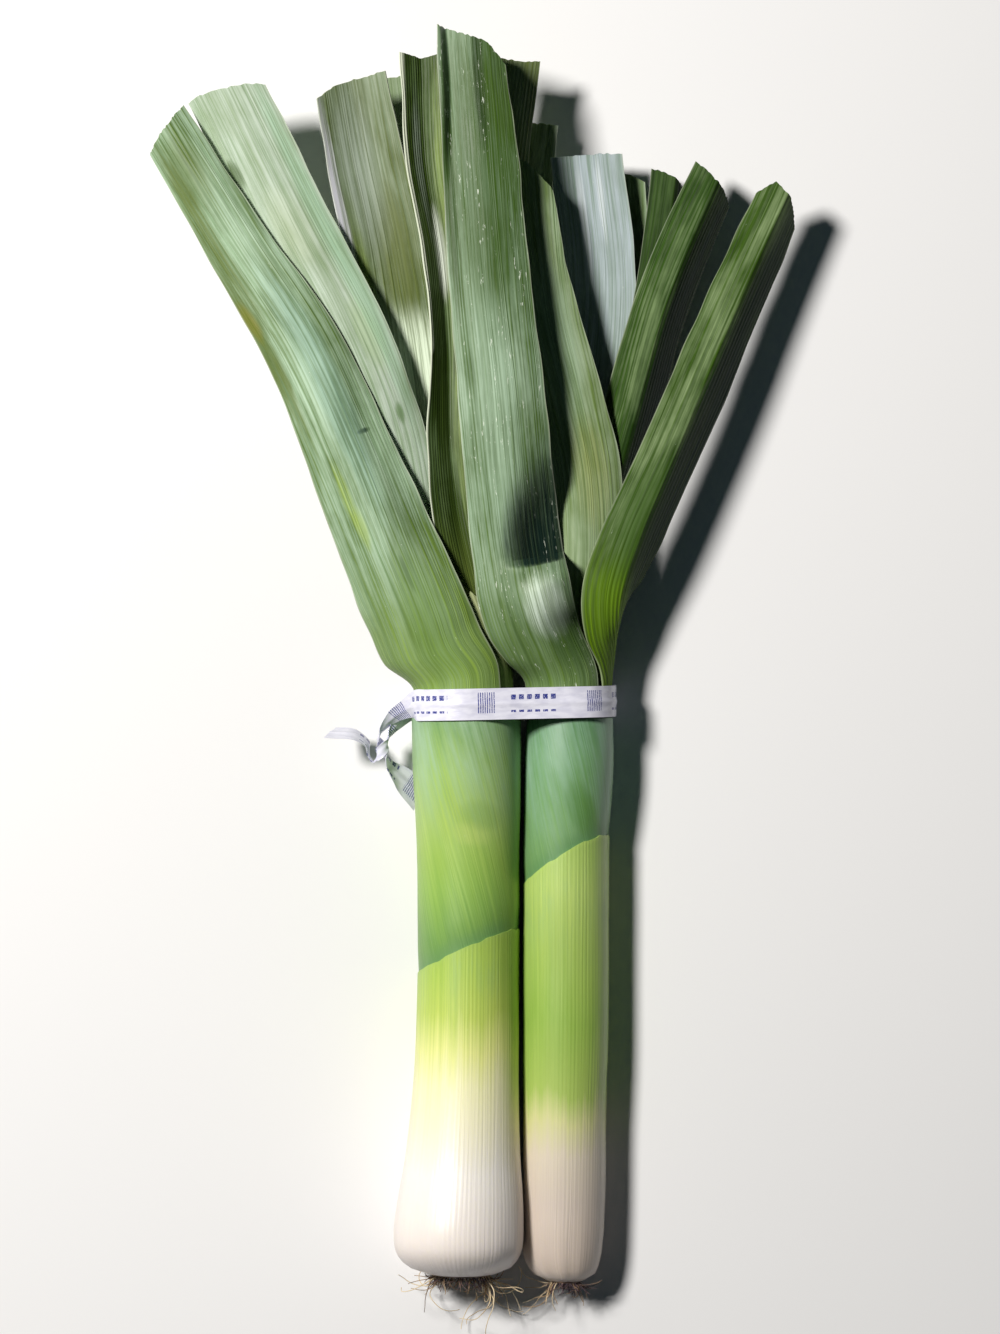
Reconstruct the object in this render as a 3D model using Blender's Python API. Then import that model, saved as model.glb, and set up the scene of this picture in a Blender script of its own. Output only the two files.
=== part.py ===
"""A tied bunch of two leeks, lying on a flat surface, in metres.

Each leek is a shank with an outer sheath, a basal plate with its roots, and leaf blades
that come out of the neck one inside the other. A flat twist tie holds the two necks.
All sizes below are millimetres on the bench: +X is to the right, +Y runs from the roots
to the leaf tips, +Z is up, and Z = 0 is the surface that the bunch lies on.
"""

import math
from collections import namedtuple

import bpy
import numpy as np

MM = 0.001

# The neck is where a tie goes round the leaves, and where the blades start.
NECK_START = -19.6
NECK_END = -8.0
SHANK_TOP = -20.4
RING_GAP = 2.2

Leek = namedtuple("Leek", "x z radius outer_ring")
LEEKS = {
    "left": Leek(x=-13.4, z=23.9, radius=21.8, outer_ring=20.6),
    "right": Leek(x=27.0, z=20.5, radius=18.4, outer_ring=17.2),
}

# The outer surface of each shank: y, centre x, half width, lift of its underside.
Stage = namedtuple("Stage", "y x half lift")
SHANK_STAGES = {
    "left": [
        Stage(-242.5, -15.4, 14.5, 5.0),
        Stage(-240.5, -15.8, 19.5, 1.6),
        Stage(-235.5, -16.4, 24.2, 0.0),
        Stage(-226.0, -16.6, 26.0, 0.0),
        Stage(-214.0, -16.0, 25.2, 0.0),
        Stage(-196.0, -15.0, 23.0, 0.0),
        Stage(-170.0, -13.9, 21.2, 0.0),
        Stage(-135.0, -13.1, 20.5, 0.0),
        Stage(-100.0, -12.8, 20.4, 0.0),
        Stage(-70.0, -12.9, 20.5, 0.0),
        Stage(-42.0, -13.2, 21.4, 1.6),
        Stage(SHANK_TOP, -13.4, 21.6, 3.3),
    ],
    "right": [
        Stage(-246.0, 26.6, 7.5, 8.0),
        Stage(-244.0, 26.0, 11.5, 4.4),
        Stage(-239.0, 25.2, 14.6, 1.4),
        Stage(-230.0, 25.0, 16.2, 0.1),
        Stage(-214.0, 25.4, 16.5, 0.0),
        Stage(-180.0, 25.8, 16.7, 0.0),
        Stage(-140.0, 26.3, 17.0, 0.0),
        Stage(-100.0, 26.4, 17.1, 0.0),
        Stage(-70.0, 26.5, 17.3, 0.0),
        Stage(-42.0, 27.4, 17.8, 1.6),
        Stage(SHANK_TOP, 27.9, 17.1, 3.3),
    ],
}
# How far the round underside is cut off flat, so that the shank rests on a real face.
FLATTENED = 1.0
SHEATH_THICK = 1.1
SHEATH_RIM_THICK = 0.6
SHEATH_GAP = 0.5
SHANK_FOOT_RISE = 1.0
SHANK_SIDES = 24
RIM_CLEARANCE = 14.0

# The slanting collar where the outer sheath ends: height in front, its tilt, and the
# clock angle of its highest point.
Collar = namedtuple("Collar", "y tilt clock")
COLLARS = {
    "left": Collar(y=-114.0, tilt=9.5, clock=20.0),
    "right": Collar(y=-78.0, tilt=11.0, clock=25.0),
}

# One blade: which leek, ring (0 is outermost), clock angle of its spine in the neck,
# width in the neck, stations along its spine, and how far the cut tip runs past or stops
# short of its last station at five places across.
Station = namedtuple("Station", "x y z width cup lean keel")
Blade = namedtuple("Blade", "leek ring clock width stations tip")
BLADES = {
    "left_front_blade": Blade("left", 0, 112, 46, [
        Station(-28.9, 5, 45.2, 48.5, 92, -20, 5),
        Station(-33.1, 17, 48.6, 46.6, 72, -14.5, 8),
        Station(-44.9, 47, 52.4, 42, 54, -10, 10),
        Station(-60.8, 87.5, 54.5, 36.2, 45, -6, 10),
        Station(-78.4, 126, 53.5, 33, 45, -7, 12),
        Station(-104, 166, 51.5, 27.6, 50, -10, 15),
        Station(-132.5, 212, 48, 24, 55, -14, 20),
    ], (-4.5, -2, 0, 2.5, 4.5)),
    "left_second_blade": Blade("left", 1, 140, 32, [
        Station(-31.2, 8, 32, 29, 82, -60, 8),
        Station(-33, 22, 34.5, 34, 70, -32, 8),
        Station(-38, 52, 38.2, 33, 50, -12, 8),
        Station(-47, 97, 43.4, 32, 40, -2, 8),
        Station(-61.5, 134, 47, 32, 35, -4, 8),
        Station(-80.5, 170, 46.5, 33, 30, -6, 8),
        Station(-109, 228, 43.5, 31.5, 30, -8, 6),
    ], (2.5, 2.5, 0.5, -1.5, -5)),
    "left_broad_blade": Blade("left", 2, 200, 28, [
        Station(-26, 8, 18, 28, 85, -122, 5),
        Station(-25.5, 22, 17.8, 28, 60, -145, 5),
        Station(-30, 59, 21.5, 29, 35, -170, 5),
        Station(-36, 99, 27, 31, 30, -178, 5),
        Station(-41, 135, 32, 32, 30, -178, 5),
        Station(-46.8, 170, 35.5, 32, 35, -178, 8),
        Station(-53.4, 200, 36.5, 32, 45, -178, 12),
        Station(-59.1, 231.6, 37, 31, 52, -178, 15),
    ], (2, 1.5, 1, -0.5, -4.5)),
    "left_floor_blade": Blade("left", 0, 255, 26, [
        Station(-19, 12, 3.2, 26, 50, -172, 4),
        Station(-23, 60, 4.5, 26, 28, -180, 4),
        Station(-26, 99, 6, 26, 25, -180, 4),
        Station(-31, 147, 9, 25, 25, -180, 4),
        Station(-37, 201, 12, 24, 25, -180, 5),
        Station(-41.5, 237, 14, 22, 25, -180, 5),
    ], (-2, 0, 0, 0, 1)),
    "left_folded_blade": Blade("left", 2, 46, 24, [
        Station(-3.5, 7, 34.8, 24.5, 75, 44, 5),
        Station(-8, 22, 37.4, 25, 50, 38, -5),
        Station(-12.2, 38, 37.2, 25, 32, 31, -28),
        Station(-17.3, 62, 36.6, 24.5, 20, 23, -50),
        Station(-20, 87, 36.5, 24, 12, 16, -64),
        Station(-21, 130, 36.5, 23, 10, 24, -78),
        Station(-24, 164, 37, 23, 10, 20, -80),
        Station(-29, 198, 38, 23, 10, 12, -80),
        Station(-31, 242, 39, 22, 10, 8, -74),
    ], (1, 0, -1, 0, 2)),
    "left_torn_blade": Blade("left", 1, 30, 15, [
        Station(0.5, 5, 33.5, 13, 47, 54, 5),
        Station(-5, 17, 38.3, 10.5, 35, 36, 5),
        Station(-10, 30, 41.8, 7, 25, 22, 5),
    ], (-2, 1, -3, 2, -4)),
    "left_inner_blade": Blade("left", 3, -10, 20, [
        Station(-2.5, 6, 21.5, 18, 76, 66, 5),
        Station(-4.5, 22, 21, 18, 65, 24, 8),
        Station(-2, 60, 19, 21, 40, 12, 10),
        Station(-3, 100, 20, 22, 35, 8, 10),
        Station(-3, 147, 25, 22, 30, 6, 10),
        Station(1, 200, 31, 21, 30, 5, 12),
        Station(6, 241, 35, 20, 30, 5, 12),
    ], (-1, 0, 0, 0, 1)),
    "left_back_blade": Blade("left", 1, 320, 24, [
        Station(-3, 20, 9, 24, 50, -200, 5),
        Station(-4, 60, 9, 25, 35, -185, 5),
        Station(-1, 100, 10, 26, 30, -180, 5),
        Station(4, 147, 13, 26, 28, -180, 6),
        Station(9, 190, 17, 24, 28, -180, 6),
        Station(12.5, 218, 19.5, 22, 28, -180, 6),
    ], (0, 0, 0, -1, -1)),
    "right_front_blade": Blade("right", 0, 104, 35, [
        Station(18.4, 6, 42, 36.5, 88, 1, 8),
        Station(13.6, 17, 46.2, 39, 68, 4, 8),
        Station(10.3, 28, 49, 39.5, 60, 3, 8),
        Station(6.9, 46, 51, 38, 52, 0, 8),
        Station(3.4, 76, 54, 36, 40, 0, 8),
        Station(0.4, 110, 57, 34.5, 32, 0, 8),
        Station(-3.6, 147, 59.5, 32.5, 30, 0, 8),
        Station(-7, 191, 61.5, 31, 32, 0, 10),
        Station(-11.6, 248, 61, 26.5, 40, 0, 12),
    ], (4, 1.5, -1, -4, -13)),
    "right_side_blade": Blade("right", 0, -12, 29, [
        Station(45.4, 6, 22, 28, 80, 88, 10),
        Station(46.2, 16, 30.5, 31, 60, 58, 25),
        Station(47.6, 28, 36, 32, 44, 38, 38),
        Station(55, 51, 41.5, 31, 28, 22, 56),
        Station(68.4, 82, 43, 30, 18, 15, 64),
        Station(81.8, 114, 42.5, 29.5, 15, 12, 66),
        Station(93.2, 141, 41, 29, 15, 12, 68),
        Station(112.5, 184, 38, 26, 15, 12, 75),
    ], (0, 7, 4, 0, -5)),
    "right_middle_blade": Blade("right", 1, 75, 28, [
        Station(30, 8, 32.8, 27, 100, 18, 8),
        Station(31.5, 27, 31.5, 31, 70, 14, 8),
        Station(32.5, 50, 31.5, 36, 45, 10, 8),
        Station(31, 75, 33, 37, 32, 8, 8),
        Station(24.5, 107, 36, 33, 28, 5, 8),
        Station(17, 138, 39, 30, 28, 4, 8),
        Station(13.5, 162, 41, 25, 30, 3, 8),
        Station(10.5, 198, 43, 20, 30, 2, 8),
    ], (4, 3, 2, -4, -10)),
    "right_ridged_blade": Blade("right", 2, 42, 24, [
        Station(34.6, 8, 26, 22, 100, 48, 10),
        Station(38, 27, 25.5, 25, 50, 38, 30),
        Station(41, 45, 25, 26, 30, 28, 45),
        Station(47, 75, 25, 28, 20, 20, 60),
        Station(54, 101, 27, 28, 15, 15, 65),
        Station(67, 147, 29, 28, 15, 12, 70),
        Station(77, 172, 30, 27, 15, 12, 70),
        Station(86.5, 193, 30, 25.5, 15, 12, 70),
    ], (4.5, 3, 0.5, -2, -5)),
    "right_low_ridged_blade": Blade("right", 3, 35, 18, [
        Station(32.8, 8, 24.2, 17, 95, 48, 8),
        Station(36.5, 27, 21.2, 18, 55, 40, 18),
        Station(41, 45, 19.5, 18, 30, 30, 28),
        Station(46, 75, 20.5, 17, 20, 20, 35),
        Station(52.5, 105, 22.5, 18, 15, 15, 40),
        Station(62.5, 147, 22.3, 18, 15, 12, 50),
        Station(67, 172, 20, 20, 15, 12, 60),
        Station(70, 195, 19, 21, 15, 12, 65),
    ], (4, 3, 1, -2, -6)),
    "right_pale_blade": Blade("right", 2, 250, 24, [
        Station(25, 12, 11, 22, 70, -168, 4),
        Station(26.5, 30, 12, 20, 50, -176, 4),
        Station(28, 50, 12.5, 21, 30, -178, 4),
        Station(31, 85, 13, 23, 25, -180, 4),
        Station(36, 110, 14, 26, 20, -180, 4),
        Station(39.6, 150, 16, 30, 18, -180, 4),
        Station(34.4, 205, 20.5, 28.5, 20, -180, 4),
    ], (-1, -0.3, 0, 0, 0.5)),
    "right_hidden_blade": Blade("right", 1, 200, 20, [
        Station(13.2, 8, 13.5, 20, 72, -122, 4),
        Station(17, 28, 9, 20, 45, -150, 4),
        Station(20.5, 50, 7.2, 21, 30, -172, 4),
        Station(23, 100, 6.5, 21, 25, -180, 4),
        Station(24.5, 150, 7, 20, 22, -180, 4),
        Station(24.5, 202, 8.5, 19, 22, -180, 4),
    ], (-1, 0, 0.5, 0, -1)),
    "right_floor_blade": Blade("right", 0, 254, 22, [
        Station(25, 12, 3.0, 23, 45, -168, 3),
        Station(38, 50, 2.2, 24, 20, -180, 3),
        Station(44, 85, 2.4, 25, 18, -180, 3),
        Station(47, 120, 3.4, 25, 18, -180, 3),
        Station(48, 150, 6, 25, 18, -180, 3),
        Station(46.5, 197, 10, 24, 20, -180, 3),
    ], (-2, 1, 2, 1, 0)),
}
BLADE_MID_THICK = 1.3
BLADE_EDGE_THICK = 0.6
BLADE_ACROSS = (-1, -0.7, -0.35, 0, 0.35, 0.7, 1)
BLADE_CELL = 21.0
SECTION_STEPS = 160
KEEL_SHARPNESS = 0.1
TIP_SHARE = 0.3
SHARP_ANGLE = math.radians(40)

# The roots: a basal plate under each shank, and strands that hang from it.
Plate = namedtuple("Plate", "y x z radius depth")
PLATES = {
    "left": Plate(y=-242.9, x=-15.4, z=19.2, radius=13.0, depth=3.2),
    "right": Plate(y=-246.4, x=26.6, z=15.4, radius=6.8, depth=2.4),
}
PLATE_SIDES = 16
# The rounded edge of a plate: share of its depth, share of its radius.
PLATE_EDGE = ((0, 1.0), (0.6, 0.88), (1.0, 0.55))
STRAND_SIDES = 5
ROOT_THICK = 1.3
ROOT_TIP_THICK = 0.7
ROOT_CELL = 4.5
ROOT_ROUTES = {
    "left": [
        [(-25, -242, 14), (-31, -248, 9), (-38, -251, 5), (-36, -257, 2)],
        [(-20, -243, 24), (-24, -249, 22), (-23, -256, 12), (-28, -259, 3)],
        [(-15, -244, 14), (-13, -250, 9), (-9, -256, 5), (-2, -260, 2)],
        [(-10, -243, 24), (-5, -249, 23), (1, -252, 14), (8, -253, 6)],
        [(-19, -244, 10), (-20, -251, 6), (-15, -256, 3), (-12, -260, 1.5)],
        [(-7, -243, 16), (0, -247, 10), (9, -250, 5), (15, -256, 2)],
    ],
    "right": [
        [(23, -246, 12), (20, -251, 8), (15, -255, 4), (16, -261, 2)],
        [(26, -247, 18), (28, -251, 16), (33, -252, 9), (37, -251, 4)],
        [(29, -246, 14), (33, -249, 9), (38, -248, 5), (41, -245, 2)],
    ],
}

# The twist tie: a flat strip with a wire along its middle. It goes round both necks,
# its two ends are twisted together beside the left leek, and then they spread.
TIE_Y = -14.8
TIE_WIDTH = 12.4
TIE_PINCHED = 4.6
TIE_WING = 0.35
TIE_HUMP = 1.4
WIRE_THICK = 0.6
WIRE_BORE = 1.0
WIRE_SIDES = 8
TIE_GAP = 0.35
TIE_SLOPE = 0.02
TIE_LEAVES = math.radians(150)
PINCH_FROM = (-47.0, -29.5, 20.5)
PINCH_TO = (-47.4, -36.5, 19.0)
PINCH_RADIUS = 1.75
PINCH_TURNS = 0.5

# The free stretches of the tie: where its middle runs, which way its width points, and
# its width. The upper end comes over the leeks, the lower end from under them.
Ribbon = namedtuple("Ribbon", "at across width")
UPPER_LEAD = [
    Ribbon((-37.2, -16.8, 28.2), (-0.3, 0.85, 0.3), 8.0),
    Ribbon((-42.6, -20.0, 24.0), (-0.45, 0.6, 0.6), 6.5),
    Ribbon((-46.8, -24.6, 21.9), (-0.4, 0.2, 0.9), 5.2),
]
LOWER_LEAD = [
    Ribbon((-36.8, -18.2, 16.6), (-0.2, 0.85, 0.3), 8.0),
    Ribbon((-41.0, -22.4, 18.6), (-0.35, 0.6, 0.6), 6.5),
    Ribbon((-44.0, -26.4, 19.6), (-0.3, 0.2, 0.9), 5.2),
]
UPPER_TAIL = [
    Ribbon((-44.2, -39.8, 16.2), (0.35, 0.3, -0.9), 6.5),
    Ribbon((-39.4, -44.8, 12.0), (0.6, 0.5, -0.6), 10.5),
    Ribbon((-32.6, -51.8, 7.6), (0.68, 0.62, -0.39), TIE_WIDTH),
]
LOWER_TAIL = [
    Ribbon((-50.6, -38.3, 18.6), (0.0, 0.0, -1.0), 5.0),
    Ribbon((-52.6, -35.6, 19.2), (0.0, 0.1, -1.0), 6.0),
    Ribbon((-53.0, -31.0, 20.4), (0.2, 0.15, -1.0), 8.0),
    Ribbon((-57.0, -27.6, 21.6), (0.1, 0.3, -0.94), 11.0),
    Ribbon((-68.0, -26.2, 22.2), (0.0, 0.33, -0.94), TIE_WIDTH),
]
TIE_CELL = 14.0
TIE_END_CUT = 0.35

PAINTS = {
    "shank": ((0.80, 0.84, 0.62, 1), 0.45),
    "sheath": ((0.86, 0.87, 0.74, 1), 0.42),
    "blade": ((0.22, 0.36, 0.20, 1), 0.5),
    "roots": ((0.62, 0.52, 0.38, 1), 0.8),
    "tie_strip": ((0.88, 0.88, 0.92, 1), 0.4),
    "tie_wire": ((0.55, 0.55, 0.56, 1), 0.35),
}


def clear_scene():
    for obj in list(bpy.data.objects):
        bpy.data.objects.remove(obj)


def paint(name):
    colour, roughness = PAINTS[name]
    material = bpy.data.materials.get(name) or bpy.data.materials.new(name)
    material.use_nodes = True
    shader = material.node_tree.nodes["Principled BSDF"]
    shader.inputs["Base Color"].default_value = colour
    shader.inputs["Roughness"].default_value = roughness
    shader.inputs["Metallic"].default_value = 1.0 if name == "tie_wire" else 0.0
    return material


def add_piece(name, points, faces, finish):
    """One closed mesh as its own object. Points are in millimetres."""
    mesh = bpy.data.meshes.new(name)
    mesh.from_pydata([tuple(p) for p in np.asarray(points) * MM], [], faces)
    mesh.materials.append(paint(finish))
    mesh.shade_smooth()
    mesh.set_sharp_from_angle(angle=SHARP_ANGLE)
    piece = bpy.data.objects.new(name, mesh)
    bpy.context.scene.collection.objects.link(piece)
    return piece


def spline(points, longest, straight_start=False):
    """Samples a smooth curve through rows of numbers, with no cell longer than given."""
    rows = np.asarray(points, float)
    chords = np.linalg.norm(np.diff(rows[:, :3], axis=0), axis=1)
    knots = np.concatenate([[0], np.cumsum(chords)])
    slopes = np.gradient(rows, knots, axis=0)
    if straight_start:
        slopes[:2] = (rows[1] - rows[0]) / chords[0]
    line = [rows[:1]]
    for i, chord in enumerate(chords):
        cells = math.ceil(chord / longest)
        u = np.linspace(0, 1, cells + 1)[1:, None]
        line.append(
            rows[i] * (2 * u**3 - 3 * u**2 + 1)
            + slopes[i] * chord * (u**3 - 2 * u**2 + u)
            + rows[i + 1] * (3 * u**2 - 2 * u**3)
            + slopes[i + 1] * chord * (u**3 - u**2)
        )
    return np.concatenate(line)


def unit(vectors):
    return vectors / np.linalg.norm(vectors, axis=-1, keepdims=True)


def tangents(points):
    return unit(np.gradient(points, axis=0))


def loft(rings):
    """Points and faces of a closed body through rings of equal length, capped at both ends."""
    count, sides = len(rings), len(rings[0])
    points = np.concatenate(rings)
    faces = [
        (i * sides + j, i * sides + (j + 1) % sides, (i + 1) * sides + (j + 1) % sides, (i + 1) * sides + j)
        for i in range(count - 1)
        for j in range(sides)
    ]
    faces.append(tuple(reversed(range(sides))))
    faces.append(tuple((count - 1) * sides + j for j in range(sides)))
    return points, faces


def tube(outer, inner):
    """Points and faces of a body between outer and inner rings, open through the middle."""
    count, sides = len(outer), len(outer[0])
    points = np.concatenate([*outer, *inner])
    inside = count * sides
    faces = []
    for i in range(count - 1):
        for j in range(sides):
            k = (j + 1) % sides
            a, b, c, d = i * sides + j, i * sides + k, (i + 1) * sides + k, (i + 1) * sides + j
            faces.append((a, b, c, d))
            faces.append((inside + d, inside + c, inside + b, inside + a))
    last = (count - 1) * sides
    for j in range(sides):
        k = (j + 1) % sides
        faces.append((inside + j, inside + k, k, j))
        faces.append((last + j, last + k, inside + last + k, inside + last + j))
    return points, faces


def face_out(piece):
    """Turns the faces of a closed body outwards if they point inwards."""
    mesh = piece.data
    mesh.calc_loop_triangles()
    points = np.array([v.co for v in mesh.vertices])
    corners = points[np.array([t.vertices for t in mesh.loop_triangles])]
    if np.linalg.det(corners).sum() < 0:
        mesh.flip_normals()
    return piece


def neck_station(leek, ring, clock, width, y):
    """Where a blade stands in the neck: on its ring round the leek's axis, curled to fit it."""
    radius = leek.outer_ring - RING_GAP * ring
    angle = math.radians(clock)
    return Station(
        leek.x + radius * math.cos(angle),
        y,
        leek.z + radius * math.sin(angle),
        width,
        math.degrees(width / radius),
        90 - clock,
        0,
    )


def blade_section(width, cup, keel, across):
    """The curve across a blade: sideways and outward offsets, and the angle of its surface."""
    fine = np.linspace(-1, 1, SECTION_STEPS + 1)
    angle = np.radians(cup) / 2 * fine + np.radians(keel) / 2 * np.tanh(fine / KEEL_SHARPNESS)
    step = (fine[1] - fine[0]) * width / 2
    side = np.concatenate([[0], np.cumsum((np.cos(angle[1:]) + np.cos(angle[:-1])) / 2 * step)])
    out = -np.concatenate([[0], np.cumsum((np.sin(angle[1:]) + np.sin(angle[:-1])) / 2 * step)])
    middle = len(fine) // 2
    return (
        np.interp(across, fine, side - side[middle]),
        np.interp(across, fine, out - out[middle]),
        np.interp(across, fine, angle),
    )


def blade_surface(blade, across):
    """The outer and inner faces of a blade as two grids of points, stations by places across."""
    leek = LEEKS[blade.leek]
    rows = [neck_station(leek, blade.ring, blade.clock, blade.width, y) for y in (NECK_START, NECK_END)]
    line = spline(rows + blade.stations, BLADE_CELL, straight_start=True)
    spine = line[:, :3]
    along = tangents(spine)
    lean = np.radians(line[:, 5])
    normal = np.stack([np.sin(lean), np.zeros(len(lean)), np.cos(lean)], axis=1)
    normal = unit(normal - (normal * along).sum(1, keepdims=True) * along)
    sideways = np.cross(along, normal)
    length = np.concatenate([[0], np.cumsum(np.linalg.norm(np.diff(spine, axis=0), axis=1))])
    ramp = np.clip((length / length[-1] - 1 + TIP_SHARE) / TIP_SHARE, 0, 1) ** 2
    across = np.asarray(across, float)
    tip = np.interp(across, np.linspace(-1, 1, 5), blade.tip)
    thick = BLADE_EDGE_THICK + (BLADE_MID_THICK - BLADE_EDGE_THICK) * (1 - across**2)
    outer, inner = [], []
    for i, row in enumerate(line):
        side, out, angle = blade_section(row[3], row[4], row[6], across)
        middle = spine[i] + np.outer(side, sideways[i]) + np.outer(out, normal[i])
        middle += np.outer(tip * ramp[i], along[i])
        facing = np.outer(np.sin(angle), sideways[i]) + np.outer(np.cos(angle), normal[i])
        outer.append(middle + facing * thick[:, None] / 2)
        inner.append(middle - facing * thick[:, None] / 2)
    return np.array(outer), np.array(inner)


def add_blade(name, blade):
    outer, inner = blade_surface(blade, BLADE_ACROSS)
    rings = [np.concatenate([o, i[::-1]]) for o, i in zip(outer, inner)]
    points, faces = loft(rings)
    return face_out(add_piece(name, points, faces, "blade"))


def shank_outline(side, y):
    """Centre x, centre z and half width of a shank's outer surface at y."""
    stages = SHANK_STAGES[side]
    at = [stage.y for stage in stages]
    x = np.interp(y, at, [stage.x for stage in stages])
    half = np.interp(y, at, [stage.half for stage in stages])
    lift = np.interp(y, at, [stage.lift for stage in stages])
    return x, half + lift - FLATTENED, half


def shank_ring(side, y, inset):
    """A ring round a shank, inside its outer surface by inset, and flat where it rests."""
    turn = np.linspace(0, 2 * math.pi, SHANK_SIDES, endpoint=False)
    x, z, half = shank_outline(side, y)
    heights = np.maximum(z + (half - inset) * np.sin(turn), inset)
    return np.stack([x + (half - inset) * np.cos(turn), y + 0 * turn, heights], axis=1)


def add_shank(side):
    """The inner shank stands inside the sheath below the collar, and is full width above it."""
    collar = COLLARS[side]
    clear_of_rim = collar.y + collar.tilt + RIM_CLEARANCE
    rings = []
    foot, *others = [stage.y for stage in SHANK_STAGES[side][1:]]
    for y in [foot + SHANK_FOOT_RISE, *others]:
        covered = np.clip((clear_of_rim - y) / RIM_CLEARANCE, 0, 1)
        rings.append(shank_ring(side, y, covered * (SHEATH_THICK + SHEATH_GAP)))
    points, faces = loft(rings)
    return face_out(add_piece(f"{side}_shank", points, faces, "shank"))


def add_sheath(side):
    """The outer sheath: a tube from the basal plate up to its slanting collar."""
    collar = COLLARS[side]
    turn = np.linspace(0, 2 * math.pi, SHANK_SIDES, endpoint=False)
    rim = collar.y + collar.tilt * np.cos(turn - math.radians(collar.clock))
    below = [stage.y for stage in SHANK_STAGES[side] if stage.y < rim.min()]
    outer = [shank_ring(side, y, 0) for y in below]
    inner = [shank_ring(side, y, SHEATH_THICK) for y in below]
    outer.append(shank_ring(side, rim, 0))
    inner.append(shank_ring(side, rim, SHEATH_RIM_THICK))
    points, faces = tube(outer, inner)
    return face_out(add_piece(f"{side}_sheath", points, faces, "sheath"))


def strand_rings(route):
    """Rings along one root strand, which tapers from the plate to its tip."""
    line = spline(route, ROOT_CELL)
    along = tangents(line)
    side = unit(np.cross(along, np.array([0.0, 0.3, 1.0])))
    up = np.cross(side, along)
    widths = np.linspace(ROOT_THICK, ROOT_TIP_THICK, len(line)) / 2
    turn = np.linspace(0, 2 * math.pi, STRAND_SIDES, endpoint=False)
    return [
        line[i] + widths[i] * (np.outer(np.cos(turn), side[i]) + np.outer(np.sin(turn), up[i]))
        for i in range(len(line))
    ]


def add_roots(side):
    """The basal plate with its strands, joined into one body."""
    plate = PLATES[side]
    turn = np.linspace(0, 2 * math.pi, PLATE_SIDES, endpoint=False)
    rings = [
        np.stack(
            [
                plate.x + plate.radius * share * np.cos(turn),
                np.full(PLATE_SIDES, plate.y - plate.depth * depth),
                plate.z + plate.radius * share * np.sin(turn),
            ],
            axis=1,
        )
        for depth, share in PLATE_EDGE
    ]
    points, faces = loft(rings)
    base = face_out(add_piece(f"{side}_roots", points, faces, "roots"))
    for number, route in enumerate(ROOT_ROUTES[side]):
        points, faces = loft(strand_rings(route))
        strand = face_out(add_piece(f"{side}_strand_{number}", points, faces, "roots"))
        strand.hide_render = True
        strand.display_type = "WIRE"
        join = base.modifiers.new(f"strand {number}", "BOOLEAN")
        join.operation = "UNION"
        join.solver = "EXACT"
        join.object = strand
    return base


def tie_loop():
    """The strip's line round both necks, from the left side over the top and back below."""
    left, right = LEEKS["left"], LEEKS["right"]
    reach = TIE_HUMP / 2 + TIE_GAP
    radius_left, radius_right = left.radius + reach, right.radius + reach
    apart = math.hypot(right.x - left.x, right.z - left.z)
    tilt = math.atan2(right.z - left.z, right.x - left.x)
    lean = math.acos((radius_left - radius_right) / apart)
    upper, lower = tilt + lean, tilt - lean

    def arc(leek, radius, first, last, count):
        turn = np.linspace(first, last, count)
        return np.stack([leek.x + radius * np.cos(turn), leek.z + radius * np.sin(turn)], axis=1)

    def between(start, end):
        return [start + (end - start) * share for share in (0.2, 0.5, 0.8)]

    over = arc(left, radius_left, TIE_LEAVES, upper, 6)
    round_right = arc(right, radius_right, upper, lower, 10)
    under = arc(left, radius_left, lower, -TIE_LEAVES, 6)
    flat = [*over, *between(over[-1], round_right[0]), *round_right]
    flat += [*between(round_right[-1], under[0]), *under]
    return [(x, TIE_Y + TIE_SLOPE * (x - left.x), z) for x, z in flat]


def pinch(start_angle, sense):
    """One strand of the pinch, where the two ends of the tie are twisted round each other."""
    begin, end = np.array(PINCH_FROM), np.array(PINCH_TO)
    axis = unit(end - begin)
    up = np.array([0.0, 0.0, 1.0])
    up = unit(up - up @ axis * axis)
    side = np.cross(axis, up)
    strand = []
    for share in np.linspace(0, 1, 6):
        angle = start_angle + 2 * math.pi * PINCH_TURNS * share
        out = math.cos(angle) * up + math.sin(angle) * side
        at = begin + (end - begin) * share + PINCH_RADIUS * out
        strand.append(Ribbon(at, sense * np.cross(axis, out), TIE_PINCHED))
    return strand


def tie_route():
    """The whole strip, from the end of its upper tail to the end of its lower tail."""
    loop = [Ribbon(point, (0.0, 1.0, 0.0), TIE_WIDTH) for point in tie_loop()]
    upper = UPPER_LEAD + pinch(0.5 * math.pi, -1) + UPPER_TAIL
    lower = LOWER_LEAD + pinch(1.5 * math.pi, 1) + LOWER_TAIL
    return upper[::-1] + loop + lower


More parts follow.
